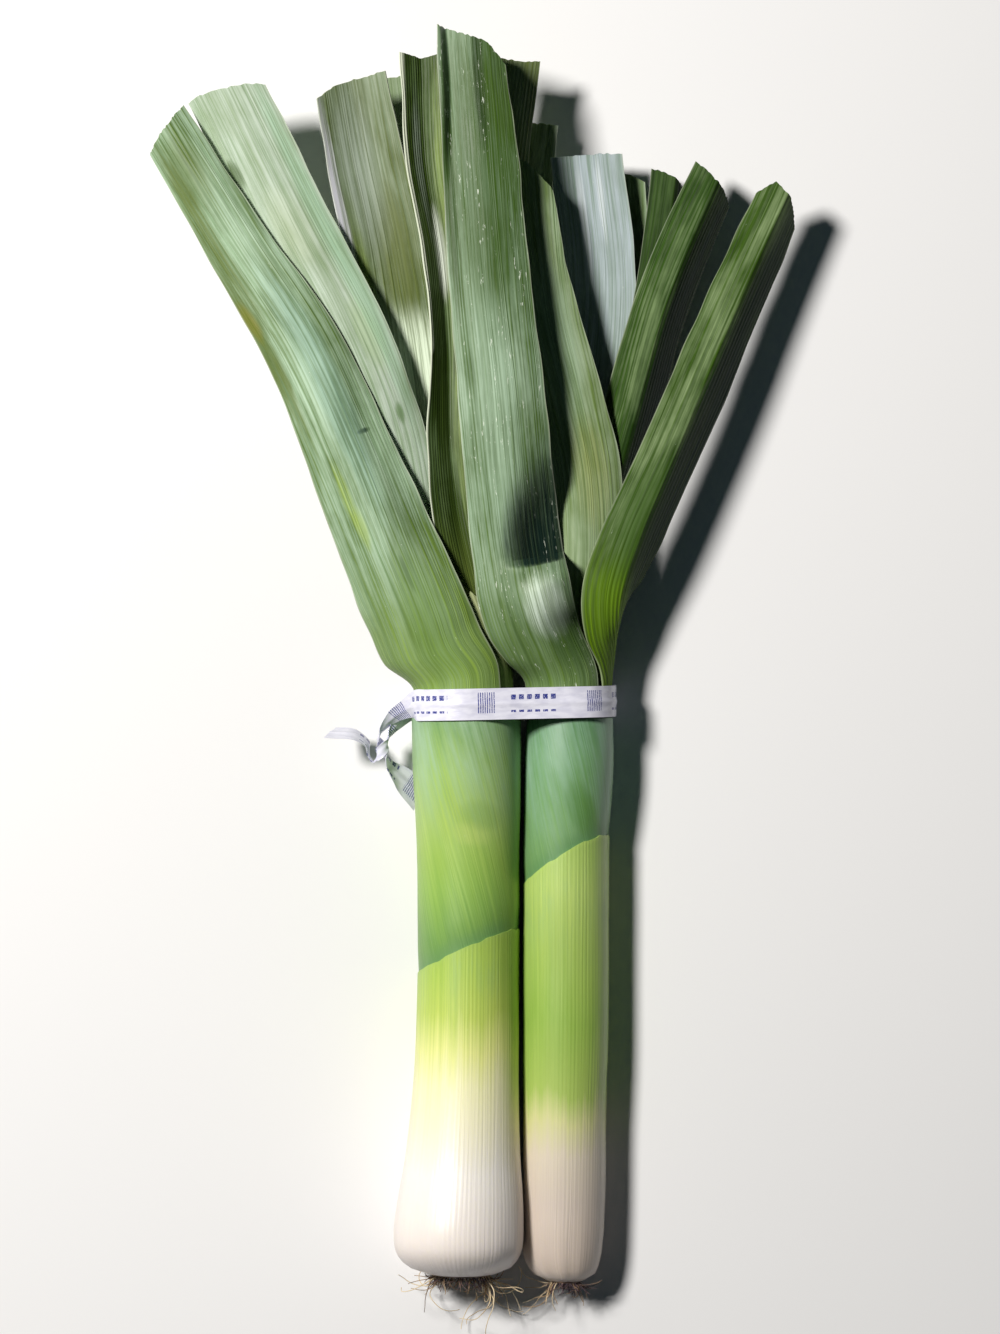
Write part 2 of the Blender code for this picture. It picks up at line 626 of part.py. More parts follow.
def add_tie():
    """The strip with a bore along its middle, and the wire in it."""
    rows = [(*ribbon.at, *ribbon.across, ribbon.width) for ribbon in tie_route()]
    line = spline(rows, TIE_CELL)
    spine = line[:, :3]
    along = tangents(spine)
    across = line[:, 3:6]
    across = unit(across - (across * along).sum(1, keepdims=True) * along)
    out = np.cross(along, across)
    cut = np.zeros(len(line))
    cut[0], cut[-1] = TIE_END_CUT, -TIE_END_CUT
    outer, inner, wire = [], [], []
    turn = np.linspace(0, 2 * math.pi, WIRE_SIDES, endpoint=False) + math.pi / WIRE_SIDES
    for i, width in enumerate(line[:, 6]):
        half, wing, hump = width / 2, TIE_WING / 2, TIE_HUMP / 2
        ridge = WIRE_BORE * 0.75
        shape = [
            (half, wing), (ridge, hump), (-ridge, hump), (-half, wing),
            (-half, -wing), (-ridge, -hump), (ridge, -hump), (half, -wing),
        ]
        slanted = across[i] + cut[i] * along[i]
        outer.append(np.array([spine[i] + a * slanted + b * out[i] for a, b in shape]))
        for rings, size in ((inner, WIRE_BORE / 2), (wire, WIRE_THICK / 2)):
            circle = [spine[i] + size * (math.cos(t) * across[i] + math.sin(t) * out[i]) for t in turn]
            rings.append(np.array(circle))
    points, faces = tube(outer, inner)
    strip = face_out(add_piece("tie_strip", points, faces, "tie_strip"))
    points, faces = loft(wire)
    return strip, face_out(add_piece("tie_wire", points, faces, "tie_wire"))


def centre_on_origin():
    """Moves everything so that the origin is under the middle of the bunch's box.

    Prints the box on the bench first: the move is the middle of these two corners.
    """
    bpy.context.view_layer.update()
    graph = bpy.context.evaluated_depsgraph_get()
    corners = [
        obj.matrix_world @ vertex.co
        for obj in bpy.data.objects
        if not obj.hide_render
        for vertex in obj.evaluated_get(graph).data.vertices
    ]
    low = [min(c[k] for c in corners) for k in range(3)]
    high = [max(c[k] for c in corners) for k in range(3)]
    for obj in bpy.data.objects:
        obj.location.x -= (low[0] + high[0]) / 2
        obj.location.y -= (low[1] + high[1]) / 2
        obj.location.z -= low[2]
    print("low corner", [round(v / MM, 2) for v in low], "high corner", [round(v / MM, 2) for v in high])


def main():
    clear_scene()
    for side in LEEKS:
        add_shank(side)
        add_sheath(side)
        add_roots(side)
    for name, blade in BLADES.items():
        add_blade(name, blade)
    add_tie()
    centre_on_origin()


main()
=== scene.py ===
# %% [markdown]
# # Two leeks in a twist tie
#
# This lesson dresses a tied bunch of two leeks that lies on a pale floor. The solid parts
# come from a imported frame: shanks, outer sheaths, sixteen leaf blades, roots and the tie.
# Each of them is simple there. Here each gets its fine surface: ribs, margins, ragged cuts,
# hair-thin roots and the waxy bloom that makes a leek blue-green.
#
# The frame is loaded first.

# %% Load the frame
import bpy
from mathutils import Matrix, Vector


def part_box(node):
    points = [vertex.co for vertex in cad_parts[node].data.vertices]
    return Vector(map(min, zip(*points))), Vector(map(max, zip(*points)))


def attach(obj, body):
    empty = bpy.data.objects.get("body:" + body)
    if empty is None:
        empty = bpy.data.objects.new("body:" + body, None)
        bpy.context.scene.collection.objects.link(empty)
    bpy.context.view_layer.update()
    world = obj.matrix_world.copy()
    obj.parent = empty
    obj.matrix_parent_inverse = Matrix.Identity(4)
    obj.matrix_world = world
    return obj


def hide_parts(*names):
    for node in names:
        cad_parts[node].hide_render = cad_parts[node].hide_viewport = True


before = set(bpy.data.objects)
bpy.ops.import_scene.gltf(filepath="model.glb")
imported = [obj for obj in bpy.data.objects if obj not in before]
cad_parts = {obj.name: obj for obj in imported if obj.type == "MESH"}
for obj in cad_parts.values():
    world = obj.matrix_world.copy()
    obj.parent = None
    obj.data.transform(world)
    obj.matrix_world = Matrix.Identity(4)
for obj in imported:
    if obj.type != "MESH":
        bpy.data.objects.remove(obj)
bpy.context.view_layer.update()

# %% [markdown]
# ## Units and the bench
#
# Sizes are easier to think about in millimetres, on a bench whose Y = 0 is just above the
# tie. The frame puts its origin under the middle of the bunch instead. The left sheath is
# the same piece in both, so its lowest corner gives the step from the bench to the frame.

# %% The step from the bench to the frame
import math
from collections import namedtuple

import bpy
import numpy as np

MM = 0.001
LEFT_SHEATH_CORNER = np.array([-42.6, -242.5, 0.0])

sheath_low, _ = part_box("left_sheath")
BENCH = np.array(sheath_low) / MM - LEFT_SHEATH_CORNER
print("bench origin in the frame, mm:", BENCH.round(2))


def on_frame(points):
    """Bench millimetres to frame metres."""
    return (np.asarray(points, float) + BENCH) * MM


# %% [markdown]
# ## The camera
#
# The bunch was photographed from straight above, so the camera looks down with the leaf
# tips at the top of the picture. A long lens from 1.8 m keeps the near leaves from looking
# too large. The picture's long side is its height, and Blender measures the lens along the
# long side, so the lens follows from the height that has to fit in.

# %% Camera straight above
CAMERA_HEIGHT = 1800.0
PICTURE_HEIGHT = 533.6
LEAF_HEIGHT = 22.0
SENSOR = 36.0

camera_data = bpy.data.cameras.new("camera")
camera_data.sensor_width = SENSOR
camera_data.lens = SENSOR * (CAMERA_HEIGHT - LEAF_HEIGHT) / PICTURE_HEIGHT
camera = bpy.data.objects.new("camera", camera_data)
camera.location = on_frame([0, 0, CAMERA_HEIGHT])
bpy.context.scene.collection.objects.link(camera)
bpy.context.scene.camera = camera
print("lens", round(camera_data.lens, 1), "mm")

# %% [markdown]
# ## Floor and light
#
# A plain pale floor catches the shadows. The light is one soft lamp, high on the upper left,
# where the shaded right sides of the shanks say that it stood. A faint cool sky fills the
# shadows. The camera sees a paler background than the sky that lights the bunch, so views
# from the side stay bright while the shadows stay deep.

# %% Helpers for colours
def from_screen(red, green, blue):
    """A colour given as it looks on a screen, 0 to 255, as the linear one that nodes use."""
    parts = [c / 255 for c in (red, green, blue)]
    return (*[c / 12.92 if c <= 0.04045 else ((c + 0.055) / 1.055) ** 2.4 for c in parts], 1.0)


# %% Floor
FLOOR_SIZE = 4000.0
FLOOR_DROP = 0.15
FLOOR_COLOUR = from_screen(236, 236, 238)
FLOOR_ROUGHNESS = 0.9

floor_mesh = bpy.data.meshes.new("floor")
half = FLOOR_SIZE / 2
corners = [(-half, -half), (half, -half), (half, half), (-half, half)]
floor_mesh.from_pydata([on_frame((x, y, -FLOOR_DROP)) for x, y in corners], [], [(0, 1, 2, 3)])
floor = bpy.data.objects.new("floor", floor_mesh)
bpy.context.scene.collection.objects.link(floor)

floor_paint = bpy.data.materials.new("floor paint")
floor_paint.use_nodes = True
floor_shader = floor_paint.node_tree.nodes["Principled BSDF"]
floor_shader.inputs["Base Color"].default_value = FLOOR_COLOUR
floor_shader.inputs["Roughness"].default_value = FLOOR_ROUGHNESS
floor_mesh.materials.append(floor_paint)

# %% Lamp and sky
LAMP_SIZE = 0.32
LAMP_AWAY = 1.8
LAMP_POWER = 42.0
LAMP_COLOUR = (1.0, 0.97, 0.92)
LAMP_FROM = np.array([-0.457, 0.30, 0.839])

lamp_data = bpy.data.lights.new("soft lamp", "AREA")
lamp_data.shape = "DISK"
lamp_data.size = LAMP_SIZE
lamp_data.energy = LAMP_POWER
lamp_data.color = LAMP_COLOUR
lamp = bpy.data.objects.new("soft lamp", lamp_data)
lamp.location = LAMP_FROM * LAMP_AWAY
lamp.rotation_mode = "QUATERNION"
lamp.rotation_quaternion = lamp.location.to_track_quat("Z", "Y")
bpy.context.scene.collection.objects.link(lamp)

SKY_LIGHT = (0.016, 0.024, 0.028, 1.0)
BACKGROUND = (0.80, 0.80, 0.82, 1.0)

# A Mix node repeats its sockets for each kind of value. These are the numbers for colours.
MIX_SHARE = 0
MIX_FIRST = 6
MIX_SECOND = 7
MIX_RESULT = 2

world = bpy.data.worlds.new("studio")
world.use_nodes = True
bpy.context.scene.world = world
sky_tree = world.node_tree
sky = sky_tree.nodes["Background"]
seen = sky_tree.nodes.new("ShaderNodeLightPath")
choice = sky_tree.nodes.new("ShaderNodeMix")
choice.data_type = "RGBA"
choice.inputs[MIX_FIRST].default_value = SKY_LIGHT
choice.inputs[MIX_SECOND].default_value = BACKGROUND
sky_tree.links.new(seen.outputs["Is Camera Ray"], choice.inputs[MIX_SHARE])
sky_tree.links.new(choice.outputs[MIX_RESULT], sky.inputs["Color"])

bpy.context.scene.view_settings.view_transform = "Standard"
print("lamp at", [round(v, 2) for v in lamp.location], "m")

# %% [markdown]
# ## Small helpers for shader nodes
#
# A finish is a graph of nodes. Small helpers keep the graphs readable. One feeds a socket
# with a number, a colour or another socket. Others do arithmetic, mix colours, turn one
# range of numbers into another and make noise. The last two make a node group with named
# sockets and place it in a material.

# %% Node helpers
def feed(tree, socket, value):
    """Links another socket to this one, or sets its own value."""
    if isinstance(value, bpy.types.NodeSocket):
        tree.links.new(value, socket)
    else:
        socket.default_value = value


def maths(tree, operation, first, second=0.0, third=0.0, clamp=False):
    node = tree.nodes.new("ShaderNodeMath")
    node.operation = operation
    node.use_clamp = clamp
    for socket, value in zip(node.inputs, (first, second, third)):
        feed(tree, socket, value)
    return node.outputs[0]


def mix(tree, share, first, second, blend="MIX"):
    node = tree.nodes.new("ShaderNodeMix")
    node.data_type = "RGBA"
    node.blend_type = blend
    for number, value in ((MIX_SHARE, share), (MIX_FIRST, first), (MIX_SECOND, second)):
        feed(tree, node.inputs[number], value)
    return node.outputs[MIX_RESULT]


def between(tree, value, low, high, out_low=0.0, out_high=1.0):
    """Smoothly from out_low to out_high while value goes from low to high."""
    node = tree.nodes.new("ShaderNodeMapRange")
    node.interpolation_type = "SMOOTHSTEP"
    for socket, number in zip(node.inputs[:5], (value, low, high, out_low, out_high)):
        feed(tree, socket, number)
    return node.outputs[0]


def linear(tree, value, low, high):
    """In a straight line from 0 to 1 while value goes from low to high."""
    node = tree.nodes.new("ShaderNodeMapRange")
    for socket, number in zip(node.inputs[:3], (value, low, high)):
        feed(tree, socket, number)
    return node.outputs[0]


def split(tree, vector):
    node = tree.nodes.new("ShaderNodeSeparateXYZ")
    tree.links.new(vector, node.inputs[0])
    return node.outputs


def noise(tree, place, across, along, detail=2.0, rough=0.5):
    """Noise with so many hills to a millimetre across the leaf and along it."""
    scale = tree.nodes.new("ShaderNodeVectorMath")
    scale.operation = "MULTIPLY"
    tree.links.new(place, scale.inputs[0])
    scale.inputs[1].default_value = (across, along, 1.0)
    node = tree.nodes.new("ShaderNodeTexNoise")
    tree.links.new(scale.outputs[0], node.inputs["Vector"])
    node.inputs["Scale"].default_value = 1.0
    node.inputs["Detail"].default_value = detail
    node.inputs["Roughness"].default_value = rough
    return node.outputs[0]


def group_of(name, inputs, outputs):
    """An empty node group with named sockets, and its input and output nodes."""
    group = bpy.data.node_groups.new(name, "ShaderNodeTree")
    for label, kind, value in inputs:
        socket = group.interface.new_socket(label, in_out="INPUT", socket_type=kind)
        if value is not None:
            socket.default_value = value
    for label, kind in outputs:
        group.interface.new_socket(label, in_out="OUTPUT", socket_type=kind)
    given = group.nodes.new("NodeGroupInput").outputs
    return group, given, group.nodes.new("NodeGroupOutput").inputs


def place_group(tree, group, **values):
    """Puts a group into a material. An underscore in a name stands for a space."""
    node = tree.nodes.new("ShaderNodeGroup")
    node.node_tree = group
    for label, value in values.items():
        feed(tree, node.inputs[label.replace("_", " ")], value)
    return node.outputs


# %% [markdown]
# ## What every part of a leek shares
#
# Three effects turn up all over the plant. Parallel veins run the length of every leaf and
# sheath. A pale wax, the bloom, lies over the green in soft patches and is rubbed off along
# the ridges. Small scratches and specks follow the veins. Each is a node group, made once,
# that puts out masks and heights. A coordinate called place carries millimetres across and
# along the piece, so the patterns follow the leaf round every bend.

# %% Parallel veins
DRIFT_BY = 7.0
RIDGE_SHARPNESS = 1.6
COARSE_SHARE = 0.60
FINE_SHARE = 0.40
THREAD_HEIGHT = 0.35
RIB_HEIGHT = 0.65

veins, at, out = group_of(
    "parallel veins",
    [
        ("Place", "NodeSocketVector", None),
        ("Rib Spacing", "NodeSocketFloat", 2.2),
        ("Evenness", "NodeSocketFloat", 0.5),
    ],
    [("Ribs", "NodeSocketFloat"), ("Threads", "NodeSocketFloat"), ("Height", "NodeSocketFloat")],
)
across = split(veins, at["Place"])[0]
drift = noise(veins, at["Place"], 0.22, 0.006, detail=1.0)
shifted = maths(veins, "MULTIPLY_ADD", drift, DRIFT_BY, across)
wave = maths(veins, "DIVIDE", maths(veins, "MULTIPLY", shifted, 2 * math.pi), at["Rib Spacing"])
ridge = maths(veins, "MULTIPLY_ADD", maths(veins, "COSINE", wave), 0.5, 0.5)
ridge = maths(veins, "POWER", ridge, RIDGE_SHARPNESS)
fading = between(veins, noise(veins, at["Place"], 0.5, 0.010, detail=2.0), 0.38, 0.60)
kept = maths(veins, "MAXIMUM", fading, at["Evenness"])
ribs = maths(veins, "MULTIPLY", ridge, kept)
fine = noise(veins, at["Place"], 2.1, 0.016, detail=4.0, rough=0.7)
coarse = noise(veins, at["Place"], 0.75, 0.012, detail=3.0, rough=0.65)
both = maths(veins, "MULTIPLY_ADD", coarse, COARSE_SHARE, maths(veins, "MULTIPLY", fine, FINE_SHARE))
threads = between(veins, both, 0.39, 0.57)
feed(veins, out["Ribs"], ribs)
feed(veins, out["Threads"], threads)
raised = maths(veins, "MULTIPLY", ribs, RIB_HEIGHT)
feed(veins, out["Height"], maths(veins, "MULTIPLY_ADD", threads, THREAD_HEIGHT, raised))
print("group", veins.name)

# %% Waxy bloom
PATCH_STRENGTH = 2.3
STREAK_STRENGTH = 1.6

bloom, at, out = group_of(
    "waxy bloom",
    [
        ("Place", "NodeSocketVector", None),
        ("Amount", "NodeSocketFloat", 0.5),
        ("Rubbing", "NodeSocketFloat", 0.4),
        ("Ribs", "NodeSocketFloat", 0.0),
    ],
    [("Wax", "NodeSocketFloat")],
)
patches = maths(bloom, "SUBTRACT", noise(bloom, at["Place"], 0.075, 0.022, detail=4.0, rough=0.6), 0.5)
streaks = maths(bloom, "SUBTRACT", noise(bloom, at["Place"], 0.8, 0.012, detail=3.0, rough=0.6), 0.5)
wax = maths(bloom, "MULTIPLY_ADD", patches, PATCH_STRENGTH, at["Amount"])
wax = maths(bloom, "MULTIPLY_ADD", streaks, maths(bloom, "MULTIPLY", at["Rubbing"], STREAK_STRENGTH), wax)
wax = maths(bloom, "SUBTRACT", wax, maths(bloom, "MULTIPLY", at["Ribs"], at["Rubbing"]), clamp=True)
feed(bloom, out["Wax"], wax)
print("group", bloom.name)

# %% Scratches and specks
RAREST = 0.73
COMMONER_BY = 0.14
SCRATCH_EDGE = 0.05

scratches, at, out = group_of(
    "scratches",
    [
        ("Place", "NodeSocketVector", None),
        ("Amount", "NodeSocketFloat", 0.3),
    ],
    [("Mask", "NodeSocketFloat")],
)
marks = noise(scratches, at["Place"], 1.3, 0.20, detail=3.0, rough=0.65)
where = between(scratches, noise(scratches, at["Place"], 0.22, 0.03), 0.50, 0.64)
limit = maths(scratches, "SUBTRACT", RAREST, maths(scratches, "MULTIPLY", at["Amount"], COMMONER_BY))
sharp = between(scratches, marks, limit, maths(scratches, "ADD", limit, SCRATCH_EDGE))
feed(scratches, out["Mask"], maths(scratches, "MULTIPLY", sharp, where))
print("group", scratches.name)

# %% [markdown]
# ## Smooth curves and even noise
#
# The frame's leaves are lofts through a few stations. The same stations give the fine leaf:
# a smooth curve runs through them, and the leaf is built across it with many more points.
# Noise from a seeded grid adds the small unevenness of a grown thing, the same each time.

# %% Curves and noise
def eased(u, start, end, leaving, arriving):
    """From start to end while u goes from 0 to 1, leaving and arriving at given slopes."""
    return (
        start * (2 * u**3 - 3 * u**2 + 1)
        + leaving * (u**3 - 2 * u**2 + u)
        + end * (3 * u**2 - 2 * u**3)
        + arriving * (u**3 - u**2)
    )


def spline(points, longest, straight_start=False):
    """Samples a smooth curve through rows of numbers, with no cell longer than given."""
    rows = np.asarray(points, float)
    chords = np.linalg.norm(np.diff(rows[:, :3], axis=0), axis=1)
    knots = np.concatenate([[0], np.cumsum(chords)])
    slopes = np.gradient(rows, knots, axis=0)
    if straight_start:
        slopes[:2] = (rows[1] - rows[0]) / chords[0]
    line = [rows[:1]]
    for i, chord in enumerate(chords):
        cells = math.ceil(chord / longest)
        u = np.linspace(0, 1, cells + 1)[1:, None]
        line.append(eased(u, rows[i], rows[i + 1], slopes[i] * chord, slopes[i + 1] * chord))
    return np.concatenate(line)


def unit(vectors):
    return vectors / np.linalg.norm(vectors, axis=-1, keepdims=True)


def tangents(points):
    return unit(np.gradient(points, axis=0))


def smoothed(rows, reach):
    """The mean of each row and of so many rows to each side of it."""
    padded = np.concatenate([rows[:1].repeat(reach, 0), rows, rows[-1:].repeat(reach, 0)])
    return np.mean([padded[i : i + len(rows)] for i in range(2 * reach + 1)], axis=0)


def distances(points):
    steps = np.linalg.norm(np.diff(points, axis=0), axis=1)
    return np.concatenate([[0], np.cumsum(steps)])


NOISE_GRID = 64


def hills(first, second, seed):
    """Smooth noise from -1 to 1, one hill to each unit of either coordinate."""
    grid = np.random.default_rng(seed).uniform(-1, 1, (NOISE_GRID, NOISE_GRID))
    first, second = np.broadcast_arrays(np.asarray(first, float), np.asarray(second, float))
    i, j = np.floor(first).astype(int), np.floor(second).astype(int)
    u, v = first - i, second - j
    u, v = u * u * (3 - 2 * u), v * v * (3 - 2 * v)
    i0, i1, j0, j1 = i % NOISE_GRID, (i + 1) % NOISE_GRID, j % NOISE_GRID, (j + 1) % NOISE_GRID
    near = grid[i0, j0] * (1 - u) + grid[i1, j0] * u
    far = grid[i0, j1] * (1 - u) + grid[i1, j1] * u
    return near * (1 - v) + far * v


# %% [markdown]
# ## From grids of points to pieces
#
# Every piece is a skin over a grid. A leaf is two grids, its outer and its inner face,
# joined round the edge. A shank is one grid that closes on itself. The helper writes the
# mesh, stores place and margin as attributes for the finishes, shades it smooth and makes
# it ride with the frame.

# %% Piece helpers
SHARP_ANGLE = math.radians(50)


def grid_faces(rows, columns, first=0, wrap=False, flip=False):
    """Quads over a grid of points, optionally closed into a tube."""
    i, j = np.meshgrid(np.arange(rows - 1), np.arange(columns - (0 if wrap else 1)), indexing="ij")
    k = (j + 1) % columns
    quads = np.stack([i * columns + j, i * columns + k, (i + 1) * columns + k, (i + 1) * columns + j], -1)
    quads = quads.reshape(-1, 4) + first
    return quads[:, ::-1] if flip else quads


def make_piece(name, points, faces, finish, nodes, attributes, marked=()):
    """One object from bench points. Faces listed in marked take the second material."""
    mesh = bpy.data.meshes.new(name)
    mesh.from_pydata(on_frame(points).tolist(), [], [tuple(int(v) for v in face) for face in faces])
    for label, values in attributes.items():
        values = np.asarray(values, np.float32)
        flat = values.ndim == 1
        made = mesh.attributes.new(label, "FLOAT" if flat else "FLOAT_VECTOR", "POINT")
        made.data.foreach_set("value" if flat else "vector", values.ravel())
    for material in finish:
        mesh.materials.append(material)
    if len(marked):
        numbers = np.zeros(len(faces), np.int32)
        numbers[list(marked)] = 1
        mesh.polygons.foreach_set("material_index", numbers)
    mesh.shade_smooth()
    mesh.set_sharp_from_angle(angle=SHARP_ANGLE)
    piece = bpy.data.objects.new(name, mesh)
    bpy.context.scene.collection.objects.link(piece)
    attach(piece, "root")
    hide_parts(*nodes)
    return piece


def attribute(tree, name):
    node = tree.nodes.new("ShaderNodeAttribute")
    node.attribute_name = name
    return node


def new_finish(name):
    """A material, its node tree and its shader."""
    material = bpy.data.materials.new(name)
    material.use_nodes = True
    return material, material.node_tree, material.node_tree.nodes["Principled BSDF"]


def bump(tree, shader, height, deep):
    """Feeds a height of 0 to 1, so many millimetres deep, to the shader's normal."""
    node = tree.nodes.new("ShaderNodeBump")
    node.inputs["Strength"].default_value = 1.0
    node.inputs["Distance"].default_value = deep * MM
    feed(tree, node.inputs["Height"], height)
    tree.links.new(node.outputs["Normal"], shader.inputs["Normal"])


# %% [markdown]
# ## The leaf blades: where they run
#
# A leek's leaves come out of the neck one inside the other and fan out. Each blade below
# names its leek, its ring in the neck, the clock angle and width there, and its stations:
# place, width, how much it is cupped, how far it leans and how sharply its midrib folds it.
# The last five numbers shape the cut tip across the leaf.

# %% Leek and blade tables
NECK_START = -19.6
NECK_END = -8.0
SHANK_TOP = -20.4
RING_GAP = 2.2

Leek = namedtuple("Leek", "x z radius outer_ring")
LEEKS = {
    "left": Leek(x=-13.4, z=23.9, radius=21.8, outer_ring=20.6),
    "right": Leek(x=27.0, z=20.5, radius=18.4, outer_ring=17.2),
}

Station = namedtuple("Station", "x y z width cup lean keel")
Blade = namedtuple("Blade", "leek ring clock width stations tip")


def leaf(leek, ring, clock, width, rows, tip):
    """A blade whose stations are given as rows of their seven numbers."""
    return Blade(leek, ring, clock, width, [Station(*row) for row in rows], tip)


